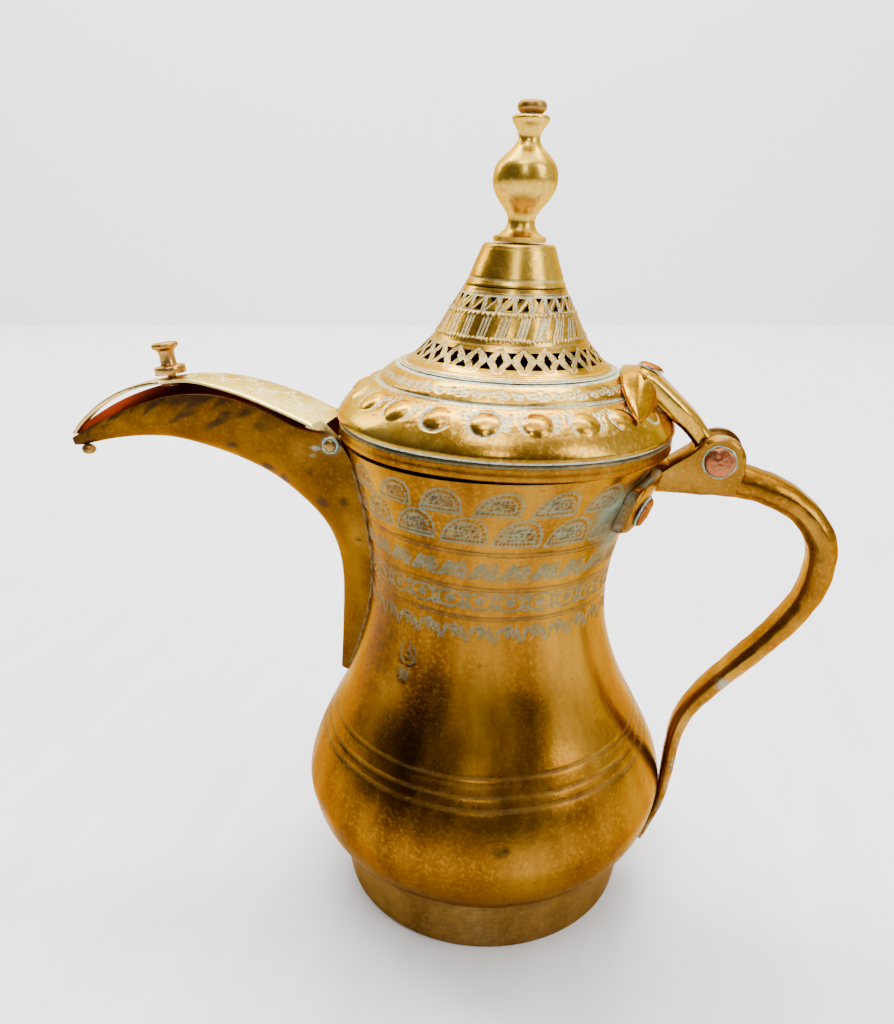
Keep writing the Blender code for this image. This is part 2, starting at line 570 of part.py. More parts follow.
def leaf_edges(share):
    """The x of the leaf's inner and outer edge, at a share of the way out to a wing tip."""
    for near, far in zip(LEAF_EDGES, LEAF_EDGES[1:]):
        if near[0] <= share <= far[0]:
            t = (share - near[0]) / (far[0] - near[0])
            return near[1] + (far[1] - near[1]) * t, near[2] + (far[2] - near[2]) * t
    return LEAF_EDGES[-1][1:]


def build_strap(frame, hinge, dome):
    """The hinge strap of the lid, and the rivet that fastens it through the dome."""
    sections = []
    stations = smooth_curve(STRAP_STATIONS, 12)
    for i, (x, z, thickness, half) in enumerate(stations):
        before, after = stations[max(i - 1, 0)], stations[min(i + 1, len(stations) - 1)]
        along = Vector((after[0] - before[0], 0, after[1] - before[1])).normalized()
        down = Vector((along.z, 0, -along.x))
        down = down if down.z < 0 else -down
        cut = thickness * 0.25
        corners = ((0, half - cut), (cut, half), (thickness - cut, half), (thickness, half - cut),
                   (thickness, cut - half), (thickness - cut, -half), (cut, -half), (0, cut - half))
        top = Vector((x, 0, z)) - LID_HINGE
        sections.append([top + down * u + Vector((0, v, 0)) for u, v in corners])
    strap = add_object("lid_strap", lofted(sections), BRASS, hinge)
    boolean(strap, add_cutter("strap_leaf", leaf(), frame), "UNION")
    knuckle = cylinder(KNUCKLE_RADIUS, -KNUCKLE_HALF_WIDTH, KNUCKLE_HALF_WIDTH, (0, 0, 0), segments=28)
    boolean(strap, add_cutter("strap_knuckle", knuckle, hinge), "UNION")
    bore = cylinder(LID_PIN_RADIUS + BORE_GAP, -20, 20, (0, 0, 0))
    boolean(strap, add_cutter("strap_bore", bore, hinge))
    grown = [(r + GAP, z + GAP) for r, z in reversed(DOME_OUTLINE)]
    trim = [(0, grown[0][1])] + grown + [(COLLAR_RADIUS + 0.2 + GAP, 4.4), (COLLAR_RADIUS + 0.2 + GAP, -1), (0, -1)]
    boolean(strap, add_cutter("dome_cutter", turned(trim), frame))
    bore = cylinder(RIVET_SHANK + BORE_GAP, -10, 14, (STRAP_RIVET_X - LID_PLACE.x, 0, dome_height(37)), (0, 0, 1))
    bore = add_cutter("strap_rivet_bore", bore, frame)
    boolean(strap, bore)
    boolean(dome, bore)
    head_radius, head_height = STRAP_RIVET
    top = STRAP_RIVET_SEAT - LID_PLACE.z + (STRAP_RIVET_X - LID_PLACE.x) * math.sin(LID_TILT) + GAP
    tail_radius, tail_height = RIVET_TAIL
    under = dome_height(STRAP_RIVET_X - LID_PLACE.x) - 3.6
    outline = ((0, top + head_height), (head_radius * 0.6, top + head_height * 0.8),
               (head_radius * 0.92, top + head_height * 0.4), (head_radius, top), (RIVET_SHANK, top),
               (RIVET_SHANK, under), (tail_radius, under), (tail_radius * 0.7, under - tail_height),
               (0, under - tail_height))
    rivet = turned(outline, SMALL_SEGMENTS)
    rivet.transform(Matrix.Translation((STRAP_RIVET_X - LID_PLACE.x, 0, 0)))
    add_object("strap_rivet", rivet, COPPER, frame)


def build_cover(hinge):
    """The spout's cover with its two hinge ears, and the knob riveted through it."""
    stations = smooth_curve(COVER_STATIONS, 18)
    sections = []
    for i, (x, z, half) in enumerate(stations):
        before, after = stations[max(i - 1, 0)], stations[min(i + 1, len(stations) - 1)]
        along = Vector((after[0] - before[0], 0, after[1] - before[1])).normalized()
        up = Vector((-along.z, 0, along.x))
        up = up if up.z > 0 else -up
        crown = COVER_CROWN * min(half / 9, 1)
        tops, lows = [], []
        for k in range(-2, 3):
            across = k / 2
            point = Vector((x, half * across, z)) - COVER_HINGE - up * crown * across**2
            tops.append(point)
            lows.append(point - up * COVER_THICKNESS)
        sections.append(tops + lows[::-1])
    cover = add_object("spout_cover", lofted(sections), PALE_BRASS, hinge)
    ear_low, ear_high = COVER_EAR
    for side, name in ((-1, "near"), (1, "far")):
        angle = math.atan2(stations[1][1] - COVER_HINGE.z, stations[1][0] - COVER_HINGE.x)
        reach = math.hypot(stations[1][1] - COVER_HINGE.z, stations[1][0] - COVER_HINGE.x) - 1.2
        outline = [Vector((COVER_EAR_RADIUS * math.cos(a), 0, COVER_EAR_RADIUS * math.sin(a)))
                   for a in (angle + math.pi / 2 + math.pi * k / 10 for k in range(11))]
        tip = Vector((math.cos(angle), 0, math.sin(angle))) * reach
        wide = Vector((math.sin(angle), 0, -math.cos(angle))) * COVER_EAR_RADIUS
        outline += [tip + wide, tip - wide]
        ear = lofted([[p + Vector((0, side * y, 0)) for p in outline] for y in (ear_low, ear_high)])
        boolean(cover, add_cutter(f"cover_ear_{name}", ear, hinge), "UNION")
    bore = cylinder(COVER_PIN_RADIUS + BORE_GAP, -20, 20, (0, 0, 0))
    boolean(cover, add_cutter("cover_bore", bore, hinge))
    place = Matrix.Translation(KNOB_PLACE - COVER_HINGE) @ Matrix.Rotation(KNOB_TILT, 4, "Y")
    hole = KNOB_SHANK + BORE_GAP
    bore = cylinder(hole, -6, 6, (0, 0, 0), (0, 0, 1))
    bore.transform(place)
    boolean(cover, add_cutter("knob_bore", bore, hinge))
    knob = turned(KNOB_OUTLINE, SMALL_SEGMENTS)
    knob.transform(place)
    add_object("cover_knob", knob, DARK_BRASS, hinge)
    radius, high, low = KNOB_WASHER
    washer = turned(((radius, high), (radius, low), (hole, low), (hole, high)), SMALL_SEGMENTS)
    washer.transform(place)
    add_object("knob_washer", washer, DARK_BRASS, hinge)


def main():
    for obj in list(bpy.data.objects):
        bpy.data.objects.remove(obj)
    trim = body_cutter()
    build_foot()
    body = build_body()
    build_spout(trim)
    build_handle(trim)
    build_saddle(body, trim)
    lid_hinge = add_empty("lid_hinge_axis", LID_HINGE)
    lid_frame = add_empty("lid_frame", LID_PLACE - LID_HINGE, lid_hinge, LID_TILT)
    dome = build_lid(lid_frame)
    build_strap(lid_frame, lid_hinge, dome)
    build_cover(add_empty("spout_cover_axis", COVER_HINGE))


main()
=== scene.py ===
"""The brass dallah's looks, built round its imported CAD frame. Lengths are millimetres until mesh_piece().

Heights on the body count from the table; heights on the lid count from its collar's lower edge, in
the lid's own leaning frame. Angles go round Z from +X, so -90 degrees faces -Y.
"""

import json
import math

import bmesh
import bpy
import numpy as np
from mathutils import Matrix, Vector, noise

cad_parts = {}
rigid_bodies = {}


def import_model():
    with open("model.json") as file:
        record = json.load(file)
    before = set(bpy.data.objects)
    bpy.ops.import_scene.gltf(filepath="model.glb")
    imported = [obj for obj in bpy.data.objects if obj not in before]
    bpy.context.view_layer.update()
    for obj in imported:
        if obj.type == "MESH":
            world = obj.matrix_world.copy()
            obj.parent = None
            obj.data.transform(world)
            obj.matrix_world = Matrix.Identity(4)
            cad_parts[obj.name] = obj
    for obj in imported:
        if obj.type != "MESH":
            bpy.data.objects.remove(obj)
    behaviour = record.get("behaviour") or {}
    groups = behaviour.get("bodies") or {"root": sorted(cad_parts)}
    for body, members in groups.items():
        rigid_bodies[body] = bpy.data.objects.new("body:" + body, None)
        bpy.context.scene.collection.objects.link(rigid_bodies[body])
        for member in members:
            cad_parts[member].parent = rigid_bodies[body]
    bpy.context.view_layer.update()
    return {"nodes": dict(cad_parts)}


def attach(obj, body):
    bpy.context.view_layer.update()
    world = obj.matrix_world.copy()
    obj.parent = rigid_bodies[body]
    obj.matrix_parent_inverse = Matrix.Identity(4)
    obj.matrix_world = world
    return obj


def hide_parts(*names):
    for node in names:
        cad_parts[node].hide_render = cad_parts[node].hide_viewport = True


MM = 0.001
TAU = math.tau

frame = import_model()
scene = bpy.context.scene
for old in list(scene.objects):
    if old.name in ("Cube", "Light", "Camera"):
        bpy.data.objects.remove(old)

# ---------------------------------------------------------------- shapes shared with the CAD
BODY = ((49.6, 20.1), (53.2, 25.5), (55.2, 31.5), (55.9, 38), (52.9, 48), (47.9, 58), (42.8, 68),
        (38.4, 80), (35.7, 92), (35.2, 104), (36.8, 116), (40.1, 129), (44.6, 143))
MOUTH_HEIGHT, MOUTH_SHIFT, LEAN_START, TILT_START = 143.0, 4.0, 80.0, 60.0
MOUTH_TILT = math.radians(0.9)
LID_PLACE = (4.4, 0.0, 144.2)
LID_TILT = math.radians(2.0)
SPIRE_START, SPIRE_SHEAR = 20.0, 0.038
LID_HINGE = Vector((63.7, 0, 141.2))
COVER_HINGE = Vector((-43.2, 0, 141.8))
SPOUT = (
    (-47.6, 63.5, -43.0, 63.0, 1.6, 0), (-46.4, 79, -36.5, 78, 5.0, 0), (-45.6, 97, -30.5, 96, 9.0, 0),
    (-47.2, 107, -29.0, 109, 11.5, 0), (-51.0, 114.8, -31.0, 121, 13.0, 0), (-58.3, 122.2, -35.0, 133, 13.9, 0),
    (-67.3, 128.5, -41.6, 143.4, 13.2, 0), (-77, 132.8, -52.5, 145.8, 12.5, 0),
         (-88.6, 136.2, -64.5, 150.9, 12.0, 0),
    (-99, 138.1, -78, 153.8, 10.6, 0.4), (-108.2, 138.1, -92, 153.2, 8.8, 1.9),
         (-118.3, 136.9, -106, 149.4, 6.0, 6.6),
    (-126.4, 135.2, -119, 144.2, 3.7, 7.6), (-131.4, 133.9, -129.6, 139, 2.2, 3.4),
    (-134.4, 133.6, -134.2, 136.4, 1.5, 0.2))
COVER = (
    (-46.6, 146.6, 11.2), (-52, 149.2, 11.4), (-60, 152.4, 11.4), (-70, 155.6, 10.3), (-80, 157.7, 9.0),
    (-89, 158.2, 6.6), (-98, 157.2, 5.4), (-107, 155.2, 3.6), (-116, 152.0, 2.3), (-123.5, 147.8, 1.8),
    (-130.3, 142.3, 1.6), (-134.2, 138.1, 1.4))
HANDLE = ((47.4, 134.9, 7.6, 12.6), (55, 135.3, 8.4, 12.8), (63, 135.4, 8.8, 12.8), (71, 134.6, 8.4, 12.6),
          (78, 132.7, 7.7, 12.4), (84.8, 129.3, 7.5, 12.0), (90, 124.4, 7.7, 11.8), (93.3, 118.2, 7.8, 11.6),
          (93.7, 111.5, 7.4, 11.4), (92.2, 103.8, 6.8, 11.2), (88.2, 95.8, 6.2, 11.0), (82, 87.2, 5.7, 10.6),
          (75, 78.8, 5.3, 10.2), (68.2, 70.6, 5.0, 9.6), (62.9, 62.8, 4.6, 8.8), (60.1, 55.6, 4.2, 8.2),
          (58.9, 48, 3.9, 7.8), (58.2, 39.5, 3.5, 7.4), (56.8, 29.8, 3.1, 6.8), (53.9, 20.5, 2.8, 6.0),
          (51.4, 13.5, 2.4, 5.0))
STRAP = ((62.6, 145.2, 4.4, 3.5), (60.2, 149.0, 4.2, 3.5), (57.6, 152.4, 4.0, 4.4), (54.6, 155.4, 3.9, 5.6),
         (51.2, 158.6, 4.0, 6.2), (48.2, 161.4, 4.2, 6.6), (45.2, 163.9, 4.4, 7.2), (42.6, 165.1, 4.4, 7.8),
         (40.6, 165.0, 4.0, 5.6), (38.6, 164.0, 3.2, 3.0))
LEAF = ((0, 35.2, 45.0), (0.3, 35.4, 45.6), (0.55, 36.2, 44.6), (0.8, 38.2, 43.0), (1.0, 40.2, 41.6))
DOME = ((46.5, 4.6), (47.2, 5.6), (46.8, 7.2), (44.9, 9.8), (42.4, 12.2), (39.2, 14.3), (36.6, 15.7),
        (34.2, 17.9), (31.6, 19.8), (30.4, 20.3))
SPIRE = ((29.9, 20.6), (26.9, 22.1), (24.0, 24.9), (21.1, 28.3), (17.6, 34.6), (13.7, 41.6))
FINIAL = ((0.0, 83.6), (4.0, 83.5), (4.85, 82.9), (4.6, 81.9), (3.6, 80.4), (2.8, 78.2), (3.6, 76.3),
          (5.8, 74.1), (7.8, 71.7), (8.5, 68.6), (8.2, 66.2), (7.0, 63.7), (5.3, 61.5), (4.0, 59.6),
          (3.6, 58.0), (4.1, 56.2), (5.6, 54.7), (7.1, 54.1))


# ---------------------------------------------------------------- curves and places
def smooth(points, count):
    """count + 1 points on a smooth curve through the given ones."""
    points = np.array(points, float)
    steps = np.linalg.norm(np.diff(points, axis=0), axis=1)
    places = np.concatenate([[0], np.cumsum(steps)])
    low, high = np.maximum(np.arange(len(points)) - 1, 0), np.minimum(np.arange(len(points)) + 1, len(points) - 1)
    slopes = (points[high] - points[low]) / (places[high] - places[low])[:, None]
    at = np.linspace(0, places[-1], count + 1)
    i = np.clip(np.searchsorted(places, at, "right") - 1, 0, len(steps) - 1)
    t, step = ((at - places[i]) / steps[i])[:, None], steps[i][:, None]
    return (points[i] * (2 * t**3 - 3 * t**2 + 1) + slopes[i] * step * (t**3 - 2 * t**2 + t)
            + points[i + 1] * (3 * t**2 - 2 * t**3) + slopes[i + 1] * step * (t**3 - t**2))


def spaced(profile, spacing):
    """The fine profile thinned to the spacing that a function gives at each height."""
    kept, left = [profile[0]], 0.0
    for a, b in zip(profile, profile[1:]):
        left += math.dist(a, b) / spacing((a[1] + b[1]) / 2)
        if left >= 1:
            kept.append(b)
            left -= 1
    if left > 0.3:
        kept.append(profile[-1])
    else:
        kept[-1] = profile[-1]
    return np.array(kept)


def body_place(points):
    """Points of the upright body, put where the leaning pot has them."""
    share = np.clip((points[..., 2] - TILT_START) / (MOUTH_HEIGHT - TILT_START), 0, 1)
    tilt = MOUTH_TILT * share**2 * (3 - 2 * share)
    shift = MOUTH_SHIFT * np.clip((points[..., 2] - LEAN_START) / (MOUTH_HEIGHT - LEAN_START), 0, None) ** 1.5
    return np.stack([shift + points[..., 0] * np.cos(tilt), points[..., 1],
                     points[..., 2] - points[..., 0] * np.sin(tilt)], -1)


def lid_place(points):
    """Points of the lid in its own frame, put where the lid stands."""
    x = points[..., 0] + SPIRE_SHEAR * np.clip(points[..., 2] - SPIRE_START, 0, None)
    y, z = points[..., 1], points[..., 2]
    c, s = math.cos(LID_TILT), math.sin(LID_TILT)
    return np.stack([x * c + z * s + LID_PLACE[0], y, z * c - x * s + LID_PLACE[2]], -1)


body_curve = smooth(BODY, 1600)


def body_radius(height):
    return np.interp(height, body_curve[:, 1], body_curve[:, 0])


def body_point(angle, height, out=0.0):
    r = body_radius(height) + out
    return body_place(np.array([r * math.cos(angle), r * math.sin(angle), height]))


# ---------------------------------------------------------------- meshes
def mesh_piece(name, points, faces, look, body, nodes=(), marks=None, sharp=40):
    """A mesh in millimetres as a finished piece that rides on a body and stands for CAD nodes."""
    data = bpy.data.meshes.new(name)
    data.from_pydata((np.asarray(points) * MM).tolist(), [], faces)
    for mark, values in (marks or {}).items():
        data.attributes.new(mark, "FLOAT", "POINT").data.foreach_set("value",
                                                                     np.asarray(values, np.float32).ravel())
    data.validate()
    obj = bpy.data.objects.new(name, data)
    scene.collection.objects.link(obj)
    data.materials.append(look)
    finish_piece(obj, body, nodes, sharp)
    return obj


def finish_piece(obj, body, nodes=(), sharp=40):
    obj.data.shade_smooth()
    obj.data.set_sharp_from_angle(angle=math.radians(sharp))
    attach(obj, body)
    if nodes:
        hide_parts(*nodes)


def grid_faces(rows, columns, wrap=True, start=0, flip=False):
    """Quads between neighbouring rows of a grid of points."""
    i, j = np.meshgrid(np.arange(rows - 1), np.arange(columns if wrap else columns - 1), indexing="ij")
    k = (j + 1) % columns
    quads = np.stack([i * columns + j, i * columns + k, (i + 1) * columns + k, (i + 1) * columns + j], -1)
    quads = quads.reshape(-1, 4) + start
    return (quads[:, ::-1] if flip else quads).tolist()


def apply_boolean(obj, other, operation="DIFFERENCE"):
    """Cuts, or joins, obj with a second closed mesh and removes that mesh."""
    modifier = obj.modifiers.new("cut", "BOOLEAN")
    modifier.operation, modifier.object, modifier.solver = operation, other, "MANIFOLD"
    settle(obj)
    bpy.data.objects.remove(other)


def settle(obj):
    """Applies the modifiers of a piece."""
    graph = bpy.context.evaluated_depsgraph_get()
    made = bpy.data.meshes.new_from_object(obj.evaluated_get(graph), preserve_all_data_layers=True, depsgraph=graph)
    obj.modifiers.clear()
    obj.data = made


def raw_object(name, points, faces, look=None):
    data = bpy.data.meshes.new(name)
    data.from_pydata((np.asarray(points) * MM).tolist(), [], faces)
    obj = bpy.data.objects.new(name, data)
    scene.collection.objects.link(obj)
    mesh = bmesh.new()
    mesh.from_mesh(data)
    bmesh.ops.remove_doubles(mesh, verts=mesh.verts, dist=1e-7)
    bmesh.ops.recalc_face_normals(mesh, faces=mesh.faces)
    if mesh.calc_volume(signed=True) < 0:
        bmesh.ops.reverse_faces(mesh, faces=mesh.faces)
    mesh.to_mesh(data)
    mesh.free()
    if look:
        data.materials.append(look)
    return obj


def lathe_points(outline, columns, place=None):
    """Points of an outline of (radius, height) spun round Z, row by row."""
    outline = np.array(outline, float)
    angle = np.arange(columns) / columns * TAU
    points = np.stack([outline[:, 0][:, None] * np.cos(angle), outline[:, 0][:, None] * np.sin(angle),
                       outline[:, 1][:, None] + 0 * angle], -1)
    return (place(points) if place else points).reshape(-1, 3)


def lathe(name, outline, columns, place=None, look=None):
    """A closed turned solid: an outline that starts and ends on the axis, or a ring."""
    ring = outline[0][0] > 0.02
    faces = grid_faces(len(outline), columns)
    if ring:
        last = (len(outline) - 1) * columns
        faces += [(last + j, last + (j + 1) % columns, (j + 1) % columns, j) for j in range(columns)]
    return raw_object(name, lathe_points(outline, columns, place), faces, look)


def loft(name, sections, look=None):
    """A closed solid through closed sections of equal point count, capped at both ends."""
    rows, columns = len(sections), len(sections[0])
    points = np.array([tuple(p) for section in sections for p in section])
    faces = grid_faces(rows, columns)
    faces += [list(range(columns))[::-1], list(range((rows - 1) * columns, rows * columns))]
    return raw_object(name, points, faces, look)


def tube(name, path, radii, look, sides=10, rough=0.0, seed=0.0):
    """A lumpy bead along a path, as solder or a crust of verdigris."""
    path = np.array([tuple(p) for p in path])
    along = np.gradient(path, axis=0)
    along /= np.linalg.norm(along, axis=1)[:, None]
    up = np.cross(along, np.array([0.31, 0.17, 0.93]))
    up /= np.linalg.norm(up, axis=1)[:, None]
    side = np.cross(along, up)
    sections = []
    for i, centre in enumerate(path):
        ring = []
        for k in range(sides):
            a = TAU * k / sides
            wave = 1 + rough * noise.noise(Vector(centre) * 0.8 + Vector((a, seed, 0)))
            ring.append(centre + radii[i] * wave * (math.cos(a) * up[i] + math.sin(a) * side[i]))
        sections.append(ring)
    return loft(name, sections, look)


# ---------------------------------------------------------------- engraved skins
def line(points, width=0.7, depth=0.22):
    """Strokes as rows of x0, y0, x1, y1, width, depth."""
    return [(*a, *b, width, depth) for a, b in zip(points, points[1:])]


def dot(x, y, width=0.9, depth=0.25):
    return [(x, y, x + 0.01, y, width, depth)]


def ring(x, y, radius, width=0.42, depth=0.2, count=10, start=0.0, turn=TAU):
    points = [(x + radius * math.cos(start + turn * k / count), y + radius * math.sin(start + turn * k / count))
              for k in range(count + 1)]
    return line(points, width, depth)


class Skin:
    """The outside of a turned piece as a fine grid, with its relief, its patina and painted shade at every point.
    """

    def __init__(self, rows, columns):
        self.rows, self.columns = rows, columns
        self.angle = -math.pi + np.arange(columns) / columns * TAU
        self.along = np.concatenate([[0], np.cumsum(np.linalg.norm(np.diff(rows, axis=0), axis=1))])
        self.lift = np.zeros((len(rows), columns))
        self.cuts = np.zeros_like(self.lift)
        self.green = np.zeros_like(self.lift)
        self.dark = np.zeros_like(self.lift)

    def patch(self, angle, height, reach):
        place = np.interp(height, self.rows[:, 1], self.along)
        radius = np.interp(height, self.rows[:, 1], self.rows[:, 0])
        low, high = np.searchsorted(self.along, [place - reach, place + reach])
        half = min(int(reach / (radius * TAU / self.columns)) + 2, self.columns // 2 - 1)
        middle = round((angle + math.pi) / TAU * self.columns)
        columns = np.arange(middle - half, middle + half + 1) % self.columns
        rows = np.arange(low, high)
        turn = (self.angle[columns] - angle + math.pi) % TAU - math.pi
        x = turn[None, :] * self.rows[rows, 0][:, None]
        y = (self.along[rows] - place)[:, None] + 0 * x
        return np.ix_(rows, columns), x, y

    def carve(self, angle, height, strokes, reach, fill=1.0, dark=0.0, size=1.0, turn=0.0):
        """Engraves strokes round a point, and leaves verdigris or grime in them."""
        where, x, y = self.patch(angle, height, reach * size)
        x, y = (x * math.cos(turn) + y * math.sin(turn)) / size, (y * math.cos(turn) - x * math.sin(turn)) / size
        s = np.array(strokes, float)
        ax, ay, bx, by, width, depth = s.T
        dx, dy = bx - ax, by - ay
        t = ((x[..., None] - ax) * dx + (y[..., None] - ay) * dy) / np.maximum(dx**2 + dy**2, 1e-9)
        t = np.clip(t, 0, 1)
        gap = np.hypot(x[..., None] - ax - t * dx, y[..., None] - ay - t * dy)
        cut = np.clip(1.15 - (gap / (width * 0.62)) ** 2, 0, 1)
        if depth.min() >= 0:
            self.cuts[where] = np.maximum(self.cuts[where], (cut * depth).max(-1))
        else:
            self.lift[where] -= (cut * depth).min(-1)
        mark = cut.max(-1)
        self.green[where] = np.maximum(self.green[where], mark * fill)
        self.dark[where] = np.maximum(self.dark[where], mark * dark)

    def wash(self, angle, height, radius_x, radius_y, amount, mark="green"):
        """A soft mark round a point: stains, and in one place a painted dark reflection."""
        where, x, y = self.patch(angle, height, max(radius_x, radius_y))
        field = getattr(self, mark)
        level = np.clip(1.4 - 1.4 * np.hypot(x / radius_x, y / radius_y), 0, 1) * amount
        field[where] = np.maximum(field[where], level)

    def boss(self, angle, height, radius, rise):
        """A round embossed swelling."""
        where, x, y = self.patch(angle, height, radius)
        self.lift[where] += rise * np.clip(1 - (x**2 + y**2) / radius**2, 0, 1) ** 0.8

    def groove(self, height, width, depth, fill=0.0, dark=0.0, slope=0.0, wobble=0.12):
        """A turned line all round."""
        centre = np.interp(height, self.rows[:, 1], self.along)
        sway = slope * np.cos(self.angle) + wobble * np.sin(3 * self.angle + height) * np.cos(2 * self.angle
            - height)
        gap = np.abs(self.along[:, None] - centre - sway[None, :])
        cut = np.clip(1.15 - (gap / (width * 0.62)) ** 2, 0, 1)
        self.cuts = np.maximum(self.cuts, cut * depth)
        uneven = 0.75 + 0.25 * np.sin(11 * self.angle + 3 * height) * np.sin(4.3 * self.angle)
        self.green = np.maximum(self.green, cut * fill * uneven)
        self.dark = np.maximum(self.dark, cut * dark)

    def waves(self, size, scale=1.0):
        """The faint unevenness of metal raised by hand."""
        a, v = self.angle[None, :], self.along[:, None] * scale
        self.lift += size * (np.sin(5 * a + 0.11 * v) * np.sin(0.17 * v + 1) + 0.6 * np.sin(9 * a - 0.07 * v + 2)
                             + 0.5 * np.sin(3 * a + 0.31 * v) + 0.35 * np.sin(14 * a + 0.23 * v) * np.sin(0.29 * v))

    def points(self, place):
        tangent = np.gradient(self.rows, axis=0)
        tangent /= np.linalg.norm(tangent, axis=1)[:, None]
        lift = self.lift - self.cuts
        r = self.rows[:, 0][:, None] + lift * tangent[:, 1][:, None]
        z = self.rows[:, 1][:, None] - lift * tangent[:, 0][:, None]
        return place(np.stack([r * np.cos(self.angle), r * np.sin(self.angle), z + 0 * r], -1))

    def piece(self, name, inside, place, look, body, nodes, slot, sharp=40, cutter=None):
        """The skin closed by an inside wall, given as rows of radius and height from top to bottom."""
        inside = np.array(inside, float)
        inner = np.stack([inside[:, 0][:, None] * np.cos(self.angle), inside[:, 0][:, None] * np.sin(self.angle),
                          inside[:, 1][:, None] + 0 * self.angle], -1)
        points = np.concatenate([self.points(place), place(inner)]).reshape(-1, 3)
        rows = len(self.rows) + len(inside)
        faces = grid_faces(rows, self.columns)
        last = (rows - 1) * self.columns
        faces += [(last + j, last + (j + 1) % self.columns, (j + 1) % self.columns, j) for j in range(self.columns)]
        # The inside wall gets no verdigris and is marked dark all over: painted shade inside the piece.
        blank = np.zeros((len(inside), self.columns))
        marks = {"green": np.concatenate([self.green, blank]), "dark": np.concatenate([self.dark, blank + 0.55])}
        obj = mesh_piece(name, points, faces, look, body, nodes, marks, sharp)
        if cutter:
            world = obj.matrix_world.copy()
            apply_boolean(obj, cutter)
            obj.matrix_world = world
            obj.data.shade_smooth()
            obj.data.set_sharp_from_angle(angle=math.radians(sharp))
        return obj


def stain_and_shade(obj, places, mark="green"):
    """Marks a piece near points, for stains and for painted shade: each place is x, y, z, radius and amount, in
    millimetres.
    """
    data = obj.data
    count = len(data.vertices)
    co = np.empty(count * 3, np.float32)
    data.vertices.foreach_get("co", co)
    co = co.reshape(-1, 3) / MM
    level = np.zeros(count, np.float32)
    old = data.attributes.get(mark)
    if old:
        old.data.foreach_get("value", level)
    for x, y, z, radius, amount in places:
        gap = np.linalg.norm(co - np.array([x, y, z], np.float32), axis=1)
        level = np.maximum(level, amount * np.clip(1.3 - 1.3 * gap / radius, 0, 1))
    (old or data.attributes.new(mark, "FLOAT", "POINT")).data.foreach_set("value", level.astype(np.float32))


# ---------------------------------------------------------------- materials
def node(tree, kind, **settings):
    made = tree.nodes.new(kind)
    for key, value in settings.items():
        if hasattr(made, key):
            setattr(made, key, value)
        else:
            made.inputs[key.replace("_", " ")].default_value = value
    return made


def ramp(tree, source, stops):
    made = tree.nodes.new("ShaderNodeValToRGB")
    while len(made.color_ramp.elements) < len(stops):
        made.color_ramp.elements.new(0.5)
    for element, (place, colour) in zip(made.color_ramp.elements, stops):
        element.position = place
        element.color = (*colour, 1) if len(colour) == 3 else colour
    tree.links.new(source, made.inputs[0])
    return made.outputs[0]


def mix(tree, factor, a, b):
    made = tree.nodes.new("ShaderNodeMix")
    made.data_type = "RGBA"
    for socket, value in ((made.inputs[0], factor), (made.inputs[6], a), (made.inputs[7], b)):
        if isinstance(value, bpy.types.NodeSocket):
            tree.links.new(value, socket)
        elif isinstance(value, tuple):
            socket.default_value = (*value, 1)
        else:
            socket.default_value = value
    return made.outputs[2]


def sum_of(tree, operation, a, b, clamp=False):
    made = tree.nodes.new("ShaderNodeMath")
    made.operation, made.use_clamp = operation, clamp
    for socket, value in zip(made.inputs, (a, b)):
        if isinstance(value, bpy.types.NodeSocket):
            tree.links.new(value, socket)
        else:
            socket.default_value = value
    return made.outputs[0]


